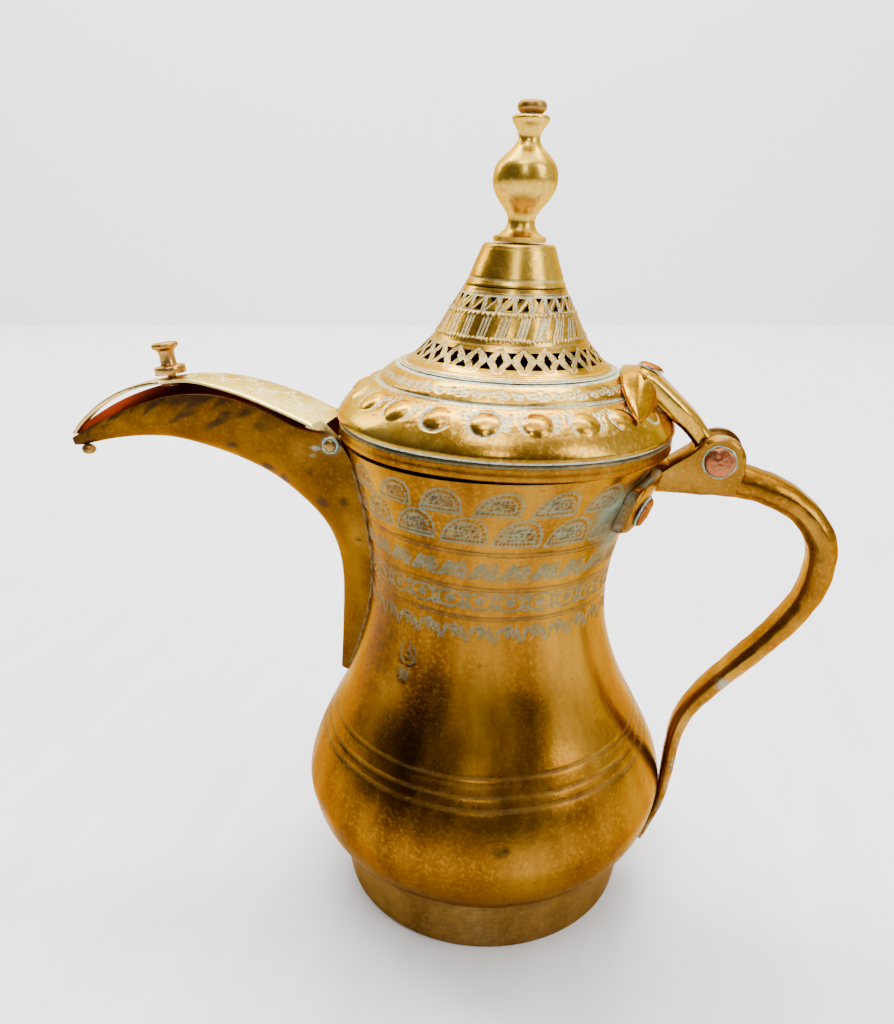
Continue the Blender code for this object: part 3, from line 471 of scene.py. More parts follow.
def brass(name, deep, mid, bright, rough=(0.24, 0.42), streak=0.16, pits=0.35, verdigris=(0.42, 0.60, 0.52),
          bump=0.10, brown=(0.022, 0.011, 0.004), tarnish=None):
    """Aged brass: uneven colour in upright streaks, dark pits, and verdigris, grime and painted shade where a mesh
    is marked.
    """
    made = bpy.data.materials.new(name)
    made.use_nodes = True
    tree = made.node_tree
    shader = tree.nodes["Principled BSDF"]
    shader.inputs["Specular Tint"].default_value = (0.80, 0.55, 0.24, 1)
    shader.inputs["Specular IOR Level"].default_value = 0.12
    place = node(tree, "ShaderNodeTexCoord").outputs["Object"]
    stretch = node(tree, "ShaderNodeMapping")
    stretch.inputs["Scale"].default_value = (1, 1, streak)
    tree.links.new(place, stretch.inputs["Vector"])

    def clouds(scale, detail=4.0, source=None, roughness=0.55):
        made = node(tree, "ShaderNodeTexNoise", Scale=scale, Detail=detail, Roughness=roughness)
        tree.links.new(source or place, made.inputs["Vector"])
        return made.outputs["Fac"]

    tone = ramp(tree, clouds(48, 5, stretch.outputs[0]), ((0.30, deep), (0.50, mid), (0.70, bright)))
    tone = mix(tree, ramp(tree, clouds(21, 3), ((0.38, (0, 0, 0)), (0.66, (0.55, 0.55, 0.55)))), tone, deep)
    fine = clouds(900, 3)
    tone = mix(tree, ramp(tree, fine, ((0.0, (0, 0, 0)), (0.5, (0, 0, 0)), (0.78, (0.5, 0.5, 0.5)))), tone, bright)
    if tarnish:
        flag = node(tree, "ShaderNodeAttribute", attribute_name="red").outputs["Fac"]
        tone = mix(tree, flag, tone, tarnish)
    specks = clouds(520, 2, roughness=0.7)
    speck = ramp(tree, specks, ((0.0, (0, 0, 0)), (0.66, (0, 0, 0)), (0.74, (pits, pits, pits))))
    tone = mix(tree, speck, tone, brown)
    # The dark mark turns the colour brown: grime in engravings and spots, and painted shade where a piece is marked
    # for it.
    dark = node(tree, "ShaderNodeAttribute", attribute_name="dark").outputs["Fac"]
    grime_and_shade = sum_of(tree, "MULTIPLY", dark, ramp(tree, clouds(330, 4),
                                                ((0.32, (0.45, 0.45, 0.45)), (0.6, (1, 1, 1)))), True)
    tone = mix(tree, grime_and_shade, tone, brown)
    green = node(tree, "ShaderNodeAttribute", attribute_name="green").outputs["Fac"]
    shown = sum_of(tree, "SUBTRACT", 1.0, sum_of(tree, "MULTIPLY", dark, 0.9), True)
    green = sum_of(tree, "MULTIPLY", green, shown)
    crust = sum_of(tree, "MULTIPLY", green, ramp(tree, clouds(700, 4),
                                                 ((0.28, (0.35, 0.35, 0.35)), (0.5, (1, 1, 1)))), True)
    pale = tuple(min(1, c * 1.05 + 0.07) for c in verdigris)
    tint = mix(tree, ramp(tree, clouds(260, 3), ((0.4, (0, 0, 0)), (0.62, (1, 1, 1)))), verdigris, pale)
    tint = mix(tree, ramp(tree, clouds(1400, 2), ((0.50, (0, 0, 0)), (0.62, (0.75, 0.75, 0.75)))), tint,
               (0.12, 0.13, 0.09))
    tree.links.new(mix(tree, crust, tone, tint), shader.inputs["Base Color"])
    cover = sum_of(tree, "ADD", crust, sum_of(tree, "MULTIPLY", grime_and_shade, 0.55), True)
    tree.links.new(sum_of(tree, "SUBTRACT", 1.0, sum_of(tree, "MULTIPLY", cover, 0.9), True),
                   shader.inputs["Metallic"])
    matt = ramp(tree, clouds(85, 5, stretch.outputs[0]), ((0.3, (rough[0],) * 3), (0.7, (rough[1],) * 3)))
    matt = sum_of(tree, "ADD", matt, sum_of(tree, "MULTIPLY", cover, 0.38), True)
    matt = sum_of(tree, "ADD", matt, sum_of(tree, "MULTIPLY", speck, 0.3), True)
    tree.links.new(matt, shader.inputs["Roughness"])
    height = sum_of(tree, "ADD", sum_of(tree, "MULTIPLY", fine, 0.5), sum_of(tree, "MULTIPLY", crust, 0.8))
    height = sum_of(tree, "SUBTRACT", height, sum_of(tree, "MULTIPLY", speck, 0.7))
    rise = node(tree, "ShaderNodeBump", Strength=bump, Distance=0.0006)
    tree.links.new(height, rise.inputs["Height"])
    tree.links.new(rise.outputs[0], shader.inputs["Normal"])
    return made


# Body brass: its own brown colour, made darker as a painted dark reflection of the shadowed room in front.
body_brass = brass("body brass", (0.075, 0.023, 0.001), (0.225, 0.090, 0.004), (0.40, 0.20, 0.018), streak=0.10,
                   pits=0.35, verdigris=(0.085, 0.215, 0.145), rough=(0.16, 0.36))
foot_brass = brass("foot brass", (0.16, 0.075, 0.014), (0.30, 0.165, 0.040), (0.44, 0.28, 0.10), rough=(0.30, 0.48),
                   pits=0.4)
# Lid brass: lighter than the body's, partly as a painted reflection of the bright ceiling on the lid's upward
# faces.
lid_brass = brass("lid brass", (0.25, 0.105, 0.006), (0.52, 0.295, 0.026), (0.80, 0.56, 0.11), rough=(0.14, 0.30),
                  streak=0.5, verdigris=(0.46, 0.60, 0.50))
finial_brass = brass("finial brass", (0.36, 0.175, 0.012), (0.66, 0.42, 0.045), (0.90, 0.68, 0.16),
                     rough=(0.22, 0.34), pits=0.12)
# Spout brass: darkest, partly its own tarnish and partly a painted dark reflection of the dim room on the pot's
# left.
spout_brass = brass("spout brass", (0.045, 0.016, 0.001), (0.105, 0.044, 0.003), (0.20, 0.095, 0.010), streak=1.0,
                    pits=0.4, tarnish=(0.30, 0.030, 0.010), rough=(0.26, 0.42))
# Cover brass: pale, partly its own colour and partly a painted reflection of the bright ceiling on its upward face.
cover_brass = brass("cover brass", (0.42, 0.29, 0.055), (0.70, 0.55, 0.16), (0.88, 0.78, 0.36), rough=(0.22, 0.36),
                    streak=1.0, pits=0.12, verdigris=(0.86, 0.78, 0.46))
knob_brass = brass("knob brass", (0.20, 0.085, 0.014), (0.38, 0.195, 0.045), (0.56, 0.35, 0.11), rough=(0.20, 0.34),
                   streak=1.0, pits=0.2)
leaf_brass = brass("leaf brass", (0.22, 0.10, 0.006), (0.42, 0.225, 0.018), (0.66, 0.42, 0.07), rough=(0.16, 0.32),
                   streak=1.0, verdigris=(0.40, 0.54, 0.45))
handle_brass = brass("handle brass", (0.11, 0.036, 0.002), (0.25, 0.105, 0.006), (0.44, 0.235, 0.028),
                     rough=(0.18, 0.36), streak=1.0, verdigris=(0.30, 0.47, 0.38))
inner_brass = brass("old brass", (0.12, 0.045, 0.010), (0.22, 0.10, 0.025), (0.34, 0.18, 0.05), rough=(0.45, 0.65))
copper = brass("copper", (0.14, 0.033, 0.010), (0.29, 0.088, 0.030), (0.46, 0.19, 0.085), rough=(0.26, 0.42),
               streak=1.0, pits=0.8, bump=0.3, brown=(0.10, 0.03, 0.02))
crust_look = brass("verdigris", (0.22, 0.32, 0.24), (0.30, 0.46, 0.37), (0.55, 0.68, 0.60), rough=(0.6, 0.8),
                   pits=0.9, bump=0.4, brown=(0.05, 0.06, 0.04))
crust_look.node_tree.nodes["Principled BSDF"].inputs["Specular IOR Level"].default_value = 0.3


# ---------------------------------------------------------------- engraved motifs, in local millimetres
def arch(wide, high, skew):
    """A scale or arch: a double outline on a double base line."""
    def curve(k, rise=0.0):
        return [(-wide / 2 * k * math.cos(t) + skew * math.sin(t) * k,
                 rise + (high - rise * 1.4) * k * math.sin(t) ** 0.85)
                for t in np.linspace(0, math.pi, 13)]
    return (line(curve(1), 0.5, 0.17) + line(curve(0.76, 0.5), 0.36, 0.10)
            + line([(-wide / 2, 0), (wide / 2, 0)], 0.6, 0.16)
            + line([(-wide / 2 + 0.5, 1.25), (wide / 2 - 0.5, 1.25)], 0.45, 0.12))


def arch_dots(wide, high, skew):
    """Punched dots between an arch's outlines and all over its inside."""
    marks = []
    for t in np.linspace(0.12, math.pi - 0.12, 13):
        marks += dot(-wide / 2 * 0.87 * math.cos(t) + skew * 0.87 * math.sin(t),
                     0.3 + (high - 0.3) * 0.87 * math.sin(t) ** 0.85, 0.7, 0.16)
    for x in np.linspace(-wide / 2 + 0.9, wide / 2 - 0.9, 11):
        marks += dot(x, 0.62, 0.62, 0.14)
    for row, y in enumerate(np.linspace(2.0, high * 0.62, 4)):
        reach = wide * 0.30 * (1 - y / high * 0.6)
        for x in np.linspace(-reach, reach, 6 - row % 2):
            marks += dot(x + skew * 0.5 + 0.25 * math.sin(9 * x + 5 * y), y + 0.2 * math.sin(7 * x), 0.8, 0.15)
    return marks


hatched_triangle = (line([(-2.3, -2.6), (2.2, -2.1), (1.6, 2.9), (-2.3, -2.6)], 0.45, 0.2)
                    + line([(-0.9, -2.2), (1.7, 0.9)], 0.45, 0.14) + line([(-0.2, -2.2), (1.9, 0.1)], 0.45, 0.14)
                    + line([(-1.5, -1.6), (1.6, 1.9)], 0.45, 0.14))
leaf_cluster = (ring(-1.2, 1.4, 0.85) + ring(0.9, 2.0, 0.8) + ring(1.5, -0.1, 0.8) + ring(-0.4, -0.5, 0.75)
                + ring(0.7, -2.1, 0.8) + line([(-2.0, -0.4), (-0.9, -2.7)], 0.5, 0.18)
                + line([(-2.6, 2.6), (-1.9, 0.3)], 0.5, 0.18))


def almond(wide, high):
    upper = [(-wide / 2 * math.cos(t), high / 2 * math.sin(t) ** 0.9) for t in np.linspace(0, math.pi, 11)]
    lower = [(x, -y) for x, y in upper]
    return line(upper, 0.5, 0.2) + line(lower, 0.5, 0.2) + ring(0, 0.1, 0.9, 0.6, 0.2) + dot(0, 0.1, 0.6)


pair_of_rings = ring(0, 1.9, 0.72) + ring(0, -1.8, 0.72)
vee = (line([(-2.9, 2.4), (-1.5, 0.9), (-0.3, -2.3)], 0.42, 0.2)
       + line([(2.7, 2.5), (1.6, 0.7), (0.4, -2.2)], 0.42, 0.2)
       + line([(-1.7, 2.5), (-0.5, 0.2), (0.0, -1.0)], 0.5, 0.16) + line([(-3.3, 1.2), (-1.9, -0.9)], 0.45, 0.16)
       + line([(1.7, 2.7), (0.8, 0.6)], 0.45, 0.16))
cluster = ring(-0.9, 1.3, 0.65) + ring(0.9, 1.3, 0.65) + ring(0, 0.1, 0.65) + ring(0, 2.6,
    0.6) + line([(0, -0.6), (0, -1.9)], 0.5, 0.16)
tulip = (line([(-2.4, 7.2), (-3.6, 4.6), (-3.2, 1.6), (-1.4, 0.0)], 0.8, 0.22)
         + line([(1.9, 7.0), (3.4, 4.4), (3.0, 1.5), (1.2, 0.0)], 0.8, 0.22)
         + ring(0.2, 3.4, 1.3, 0.6, 0.2, 8, 3.4, 5.0)
         + line([(-2.2, -1.6), (-2.6, -4.4), (-0.9, -6.0), (1.2, -4.6), (1.3, -1.8)], 0.8, 0.22)
         + ring(-0.5, -3.2, 0.8, 0.55, 0.18) + line([(0.1, 5.6), (0.4, 8.2)], 0.6, 0.18))


def sink(angle):
    """How far the rows round the neck slip down towards the handle."""
    return -1.2 * math.cos(angle)


# ---------------------------------------------------------------- body
rows = spaced(body_curve, lambda h: 0.40 if h > 84 else (0.62 if 50 < h < 62 else 1.15))
body = Skin(rows, 480)
body.waves(0.045)
body.lift -= 0.07
for k in range(18):
    angle = math.radians(-102 + 20 * k)
    skew = 2.6 if k % 3 else 1.2
    body.carve(angle, 133.9 + sink(angle) * 0.4, arch(11.2, 7.0, skew), 9, fill=0.85, dark=0.35)
    body.wash(angle, 137.0 + sink(angle) * 0.4, 5.0, 3.4, 0.30 + 0.38 * math.cos(angle + 0.5))
    body.carve(angle, 133.9 + sink(angle) * 0.4, arch_dots(11.2, 7.0, skew), 9, fill=0.0, dark=0.95)
    angle = math.radians(-93.5 + 20 * k)
    body.carve(angle, 125.3 + sink(angle), arch(11.9, 8.0, 1.6), 10, fill=0.9, dark=0.3)
    body.wash(angle, 128.8 + sink(angle), 5.2, 3.8, 0.40 + 0.40 * math.cos(angle + 0.5))
    body.carve(angle, 125.3 + sink(angle), arch_dots(11.9, 8.0, 1.6), 10, fill=0.0, dark=1.0)
for k in range(28):
    angle = math.radians(-88 + 360 / 28 * k)
    body.carve(angle, 117.0 + sink(angle), hatched_triangle, 5, fill=0.95, dark=0.5, size=0.88)
    angle += math.radians(6.4)
    body.carve(angle, 117.0 + sink(angle), leaf_cluster, 5, fill=0.95, dark=0.5, size=0.88)
for k in range(27):
    angle = math.radians(-98.5 + 360 / 27 * k)
    body.carve(angle, 107.8 + sink(angle), almond(6.8, 5.0), 5, fill=0.9, dark=0.5)
    body.carve(angle + math.radians(6.7), 107.8 + sink(angle), pair_of_rings, 4, fill=0.9, dark=0.5)
for k in range(30):
    angle = math.radians(-102 + 12 * k)
    body.carve(angle, 97.7 + 0.5 * sink(angle), vee, 5, fill=0.9, dark=0.45, size=0.86)
    body.carve(angle + math.radians(6), 98.4 + 0.5 * sink(angle), cluster, 5, fill=0.85, dark=0.5, size=0.75)
body.carve(math.radians(-117.5), 85.5, tulip, 11, fill=0.45, dark=0.6, size=0.8)
for height, width, depth, dark in ((122.9, 0.5, 0.10, 0.75), (121.9, 0.45, 0.08, 0.6), (112.0, 0.5, 0.10, 0.6),
                                   (111.0, 0.45, 0.08, 0.5), (103.2, 0.5, 0.10, 0.6), (102.3, 0.45, 0.07, 0.45),
                                   (60.5, 0.6, 0.14, 0.35), (59.2, 0.45, 0.10, 0.3), (56.1, 0.6, 0.14, 0.35),
                                   (53.2, 0.6, 0.14, 0.45)):
    body.groove(height, width, depth, fill=0.2, dark=dark + 0.2, slope=-1.0 if height > 100 else 0.0)
body.wash(math.radians(-34), 131, 9, 10, 0.9)
body.wash(math.radians(-26), 124, 8, 9, 0.85)
body.wash(math.radians(26), 129, 12, 12, 0.8)
body.wash(math.radians(-33), 127, 7, 8, 0.55, "dark")
body.wash(math.radians(-76), 43.6, 2.6, 2.2, 1.0, "dark")
body.wash(math.radians(-74), 43.9, 1.5, 2.4, 1.0, "dark")
body.wash(math.radians(-139), 36, 4, 3, 0.7, "dark")
body.wash(math.radians(-128), 33, 3, 4, 0.6, "dark")
# A tall soft dark patch on the neck's front left: a painted dark reflection.
body.wash(math.radians(-134), 92, 12, 36, 0.6, "dark")
for k in range(26):
    angle, height = -math.radians(126) + 1.9 * math.sin(k * 2.4), 26 + 9 * math.sin(k * 1.7) ** 2
    body.wash(angle, height, 1.0 + 0.6 * math.sin(k), 0.9 + 0.5 * math.cos(k * 3), 0.75, "dark")
# Painted shade on the belly's underside below 36 mm, deepest towards the front left.
body.dark = np.maximum(body.dark, 0.62 * np.clip((36 - rows[:, 1]) / 16, 0, 1)[:, None]
                       * (0.75 + 0.25 * np.cos(body.angle + 2.0)))
for side in (-1, 1):
    for k in range(44):
        height = 68 + 1.65 * k
        width = math.asin(min(0.98, np.interp(height, [63, 79, 97, 115, 133], [1.6, 5, 9, 13, 14.6])
                              / body_radius(height))) + 0.06
        zig = [(0, 0), (side * (1.4 + 0.5 * math.sin(k * 2.1)), 0.9), (side * 0.5, 1.8)]
        body.carve(math.pi - side * width, height, line(zig, 0.5, 0.15), 3, fill=0.75, dark=0.4)
inner = [(body_radius(h) - 1.4, h) for h in np.linspace(142.6, 23, 22)]
inner = [(rows[-1, 0] - 1.4, 143.0)] + inner + [(rows[0, 0] - 1.4 * 1.4, 20.1)]
port = [[(x, y, 113.5 + z) for y, z in [(6 * math.sin(TAU * (k + 0.5) / 24), 6 * math.cos(TAU * (k + 0.5) / 24)
        + math.copysign(13.5, math.cos(TAU * (k + 0.5) / 24))) for k in range(24)]] for x in (-50.0, -20.0)]
body.piece("pot_body", inner, body_place, body_brass, "pot", ["body_shell"], "body_shell",
           cutter=loft("port", port))

# ---------------------------------------------------------------- foot
rows = spaced(smooth(((43.6, 0), (44.2, 0.7), (44.9, 5), (45.7, 10), (46.9, 15), (48.0, 18.9), (48.1, 19.4),
                      (47.7, 19.8)), 700),
              lambda h: 0.42)
foot = Skin(rows, 360)
foot.waves(0.03)
foot.lift *= np.clip(rows[:, 1] / 1.5, 0, 1)[:, None]
foot.groove(18.2, 0.55, 0.10, dark=0.6)
foot.groove(16.9, 0.4, 0.06, dark=0.35)
foot.groove(3.1, 0.4, 0.05, dark=0.3)
# The whole foot is marked dark, and painted shade under the belly's bulge deepens it towards the top.
foot.dark = np.maximum(foot.dark, 0.35 + 0.3 * np.clip((rows[:, 1] - 15) / 5, 0, 1)[:, None] * (1 + 0 * foot.angle))
for k in range(30):
    foot.wash(-math.pi / 2 + 1.8 * math.sin(k * 1.9), 10 + 8 * math.sin(k * 2.7), 1.4 + math.sin(k), 1.0, 0.6,
              "dark")
inner = [(45.9, 19.8), (45.0, 15), (43.8, 10), (43.0, 5), (41.7, 0)]
foot.piece("foot", inner, lambda p: p, foot_brass, "pot", ["foot_band"], "foot_band")

# ---------------------------------------------------------------- lid
collar_rows = spaced(smooth(((45.9, 0.0), (46.5, 0.3), (46.8, 1.2), (46.7, 2.4), (46.65, 3.7), (46.3, 4.3)), 300),
                     lambda h: 0.3)
collar = Skin(collar_rows, 360)
collar.waves(0.03)
collar.wash(math.radians(-101), 2.2, 0.9, 0.5, 0.9, "dark")
collar.green[-3:, :] = 0.6
collar.dark[-2:, :] = 0.8
collar.piece("lid_ring", [(38.6, 4.3), (38.6, -4.2), (39.4, -4.2), (39.8, -3.8), (39.8, 0.0)], lid_place,
             body_brass, "lid", ["lid_collar"], "lid_collar")

dome_rows = spaced(smooth(DOME, 900), lambda h: 0.33)
dome_skin = Skin(dome_rows, 560)
dome_skin.waves(0.05, 2.0)
for k in range(21):
    angle = math.radians(-123 + 360 / 21 * k)
    height = 13.0
    dome_skin.boss(angle, height, 3.6, 0.75)
    style = k % 5
    if style == 2:
        marks = ring(0, 0, 4.1, 0.55, 0.25, 20) + sum((ring(5.4, y, 0.5, 0.5, 0.2) for y in (-1.5, 0, 1.5)), []) \
            + sum((dot(-4.9 * math.cos(t), 4.9 * math.sin(t), 0.5) for t in np.linspace(-1, 1, 7)), [])
    elif style == 1:
        marks = ring(0, 0, 4.0, 0.6, 0.28, 14, 2.2, 3.6)
    else:
        marks = ring(0, 0, 4.1, 0.5, 0.22, 10, 2.4, 1.5) + ring(0.6, 0.2, 4.0, 0.45, 0.2, 10, -0.8, 1.5) \
            + ring(1.5, 0.4, 4.2, 0.38, 0.2, 8, -0.7, 1.2)
    dome_skin.carve(angle, height, marks, 7.5, fill=0.85, dark=0.1)
    between = angle + math.pi / 21
    dome_skin.carve(between, 14.3, ring(0, 0, 0.9, 0.36, 0.2) + ring(0.4, 0.1, 1.9, 0.36, 0.18, 8, -0.9, 1.9)
                    + ring(0.9, 0.2, 2.9, 0.36, 0.18, 8, -0.7, 1.5), 4, fill=0.75)
    dome_skin.carve(between, 10.9, dot(0, 0, 0.8, 0.14) + dot(1.4, 0.3, 0.6, 0.1), 3, fill=0.2, dark=0.5)
    for step in range(3):
        angle = math.radians(-128 + 360 / 63 * (3 * k + step))
        rise = 0.35 * (step % 2)
        dome_skin.carve(angle, 18.1 + rise, ring(0, 0, 0.75, 0.36, 0.2)
                        + (ring(1.9, -0.9, 0.6, 0.34, 0.2) if step == 1 else [])
                        + line([(1.5, 1.2), (2.4, -0.5)], 0.32, 0.16) + line([(2.2, 1.3), (3.1, -0.4)], 0.32, 0.16),
                        4.5, fill=0.8)
dome_skin.groove(16.3, 0.8, 0.35, fill=0.9)
dome_skin.groove(15.75, 0.4, 0.2, fill=0.7)
dome_skin.green[:3, :] = 0.85
dome_skin.dark[3:6, :] = 0.35
dome_skin.green[-3:, :] = 0.8
dome_inner = [(29.2, 20.3), (30.6, 18.6), (33.2, 16.8), (35.8, 14.7), (38.4, 13.1), (41.5, 11.1), (43.9, 8.8),
              (45.4, 7.0), (45.6, 5.8), (45.3, 4.6)]
dome_skin.piece("lid_cap", dome_inner, lid_place, lid_brass, "lid", ["lid_dome"], "lid_dome")

spire_rows = spaced(smooth(SPIRE, 900), lambda h: 0.3)
spire_skin = Skin(spire_rows, 480)
spire_skin.waves(0.03, 2.0)


def spire_radius(height):
    return float(np.interp(height, spire_rows[:, 1], spire_rows[:, 0]))


cells = 24
holes = []
for k in range(cells):
    middle = math.radians(-88) + TAU * k / cells
    half = math.pi / cells
    wild = 0.12 * math.sin(k * 2.3)
    low, high = 22.75, 27.1
    holes += [[(middle - 0.36 * half, (low + high) / 2), (middle, low + 0.35),
               (middle + 0.36 * half, (low + high) / 2 + wild), (middle, high - 0.35)],
              [(middle + half, high - 1.85 + wild), (middle + half * 1.42, high - 0.3),
               (middle + half * 0.58, high - 0.3)],
              [(middle + half * 0.52, low + 0.25), (middle + half * 1.48, low + 0.25),
               (middle + half, low + 1.9 + wild)]]
    low, high = 36.3, 39.7
    if k % 6 in (2, 5):
        holes += [[(middle, high - 1.7), (middle + 0.5 * half, high - 0.1), (middle - 0.5 * half, high - 0.1)]]
    else:
        holes += [[(middle - 0.72 * half, high - 1.7), (middle + 0.1 * half, high - 0.2),
                   (middle - 0.72 * half, high - 0.2)],
                  [(middle - 0.15 * half, low + 0.2), (middle + 0.7 * half, low + 0.2),
                   (middle + 0.6 * half, low + 1.8)]]
    bars = line([(-3.1, -2.6), (3.1, 2.6)], 0.3, 0.16) + line([(-3.1, 2.6), (3.1, -2.6)], 0.3, 0.16)
    spire_skin.carve(middle + half, 24.9, bars, 4.2, fill=0.35)
    outlines = [(a, b + s, c, d + s, 0.32, deep) for s in (-0.95, 0.95) for a, b, c, d, wide, deep in bars]
    spire_skin.carve(middle + half, 24.9, outlines, 4.6, fill=0.5)
    frame_marks = line([(-1.85, -2.3), (-1.85, 2.1), (1.75, 2.1), (1.75, -2.3), (-1.85, -2.3)], 0.34, 0.16) \
        + line([(-1.6, -1.9), (1.5, 1.9)], 0.36, 0.16)
    spire_skin.carve(middle, 38.0, frame_marks, 3.2, fill=0.7)
for height, count, size in ((29.5, 104, 0.7), (35.3, 76, 0.6)):
    for k in range(count):
        spire_skin.carve(TAU * k / count, height + 0.08 * math.sin(k * 5), dot(0, 0, size, -0.22), 1.4, fill=0.45)
for k in range(46):
    angle = TAU * (k + 0.3 * math.sin(k * 3)) / 46
    lean = 0.9 * math.cos(angle + math.radians(28))
    marks = line([(-lean * 1.5, -2.9), (lean * 1.5, 2.7)], 0.4,
                 0.15) + line([(0.9 - lean * 1.5, -2.8), (0.9 + lean * 1.5, 2.8)], 0.4, 0.14)
    spire_skin.carve(angle, 32.4, marks, 4.6, fill=0.55)
spire_skin.groove(21.1, 0.65, 0.25, fill=0.85)
spire_skin.groove(21.75, 0.4, 0.08, dark=0.2)
spire_skin.groove(28.3, 0.4, 0.07, fill=0.2)
spire_skin.groove(40.6, 0.4, 0.08, fill=0.3)
spire_skin.green[:2, :] = 0.8
spire_skin.wash(math.radians(-150), 25, 14, 5, 0.35)
wedges, wedge_faces = [], []
for hole in holes:
    hole = hole if sum((b[0] - a[0]) * (b[1] + a[1]) for a, b in zip(hole, hole[1:] + hole[:1])) < 0 else hole[::-1]
    start, n = len(wedges), len(hole)
    for shift in (-2.6, 1.6):
        for a, z in hole:
            r = spire_radius(z) + shift
            wedges.append((r * math.cos(a), r * math.sin(a), z + shift * 0.5))
    wedge_faces.append([start + i for i in range(n)][::-1])
    wedge_faces.append([start + n + i for i in range(n)])
    wedge_faces += [(start + i, start + (i + 1) % n, start + n + (i + 1) % n, start + n + i) for i in range(n)]
cutter = raw_object("wedges", lid_place(np.array(wedges)), wedge_faces)
inner = [(12.5, 41.6)] + [(spire_radius(h) - 1.15, h - 0.5) for h in np.linspace(41, 21.6, 14)] + [(28.7, 20.6)]
spire_skin.piece("lid_spire_pierced", inner, lid_place, lid_brass, "lid", ["lid_spire"], "lid_spire", cutter=cutter)

crown_rows = spaced(smooth(((13.5, 41.9), (13.45, 42.3), (13.0, 43.0), (12.2, 45.2), (10.7, 49.2), (9.75, 51.7),
                            (9.3, 52.3)), 500),
                    lambda h: 0.3)
crown = Skin(crown_rows, 240)
crown.waves(0.03, 2)
crown.groove(43.6, 0.6, 0.12, fill=0.35)
crown.groove(51.3, 0.4, 0.07, dark=0.4)
crown.piece("lid_neck", [(2.3, 52.4), (2.3, 51.2), (7.2, 51.2), (9.2, 48.0), (11.2, 44.0), (12.3, 41.9)], lid_place,
            finial_brass, "lid", ["lid_crown"], "lid_crown")

knop = lathe("knop", [(0.0, 48.6), (2.1, 48.6), (2.1, 52.75), (7.0, 52.78)] + smooth(FINIAL[::-1], 130).tolist(),
             96, lid_place, finial_brass)
finish_piece(knop, "lid", ["finial"])
cap = lathe("knop_cap", [(0.0, 83.9)] + smooth(((2.9, 83.92), (3.5, 84.6), (3.74, 85.3), (3.5, 86.3), (2.6, 86.9),
                                                (0.0, 87.15)), 26).tolist(),
            64, lid_place, foot_brass)
finish_piece(cap, "lid", ["finial_cap"])


# ---------------------------------------------------------------- handle
def bar_section(x, z, ux, uz, thick, wide, cut, soften=0.32):
    """A chamfered bar's section as softened corners, across its run and along Y."""
    a, b = thick / 2, wide / 2
    corners = [(a, b - cut), (a - cut, b), (cut - a, b), (-a, b - cut), (-a, cut - b), (cut - a, -b), (a - cut, -b),
               (a, cut - b)]
    points = []
    for before, here, after in zip(corners[-1:] + corners, corners, corners[1:] + corners[:1]):
        for toward in (before, after):
            share = min(0.3, soften / max(math.dist(here, toward), 1e-6))
            u, v = here[0] + (toward[0] - here[0]) * share, here[1] + (toward[1] - here[1]) * share
            points.append((x + ux * u, v, z + uz * u))
    return points


stations = smooth(HANDLE, 190)
along = np.gradient(stations[:, :2], axis=0)
along /= np.linalg.norm(along, axis=1)[:, None]
sections = []
for i, ((x, z, thick, wide), (ax, az)) in enumerate(zip(stations, along)):
    beat = 1 + 0.018 * math.sin(i * 0.37) + 0.012 * math.sin(i * 0.91 + 1)
    sections.append(bar_section(x, z, az, -ax, thick * 0.985 * beat, min(wide * 0.985 * beat, wide),
                                0.3 * thick * beat))
handle = loft("handle_bar", sections, handle_brass)


def drum(name, radius, low, high, centre, chamfer, look=None, columns=72):
    """A short cylinder along Y with chamfered ends."""
    outline = [(0.0, low), (radius - chamfer, low), (radius - chamfer * 0.25, low + chamfer * 0.62),
               (radius, low + chamfer), (radius, high - chamfer), (radius - chamfer * 0.25, high - chamfer * 0.62),
               (radius - chamfer, high), (0.0, high)]
    def place(points):
        return np.stack([points[..., 0] + centre[0], points[..., 2], -points[..., 1] + centre[2]], -1)
    return lathe(name, outline, columns, place, look)


apply_boolean(handle, drum("ears", 6.95, -6.5, 6.5, LID_HINGE, 1.1), "UNION")
cheek = [(-4.4, 5.0), (-8.0, 1.6), (-12.6, -1.6), (-17.2, -5.2), (-17.4, -9.0), (-4.0, -9.7), (5.2, -9.0),
         (7.2, -3.0), (5.0, 4.4)]
cheek_rings = [[(LID_HINGE.x + x * shrink, y, LID_HINGE.z + z * shrink) for x, z in cheek[::-1]]
               for y, shrink in ((-6.42, 0.93), (-5.7, 0.995), (5.7, 0.995), (6.42, 0.93))]
apply_boolean(handle, loft("cheeks", cheek_rings), "UNION")
ring_of = [(LID_HINGE.x + 6.5 * math.cos(a), LID_HINGE.z + 6.5 * math.sin(a))
           for a in np.linspace(math.pi, TAU, 33)]
ring_of += [(LID_HINGE.x + 6.5, LID_HINGE.z + 12), (LID_HINGE.x - 6.5, LID_HINGE.z + 12)]
apply_boolean(handle, loft("slot", [[(x, y, z) for x, z in ring_of] for y in (-3.9, 3.9)]))


def body_form(grow):
    curve = body_curve[::12]
    outline = [(0.0, -5), (curve[0, 0] + grow, -5)] + [(r + grow, z) for r,
                                                       z in curve] + [(curve[-1, 0] + grow, 149), (0.0, 149)]
    return lathe("form", outline, 128, body_place)


apply_boolean(handle, body_form(0.06))
finish_piece(handle, "pot", ["handle"], 28)
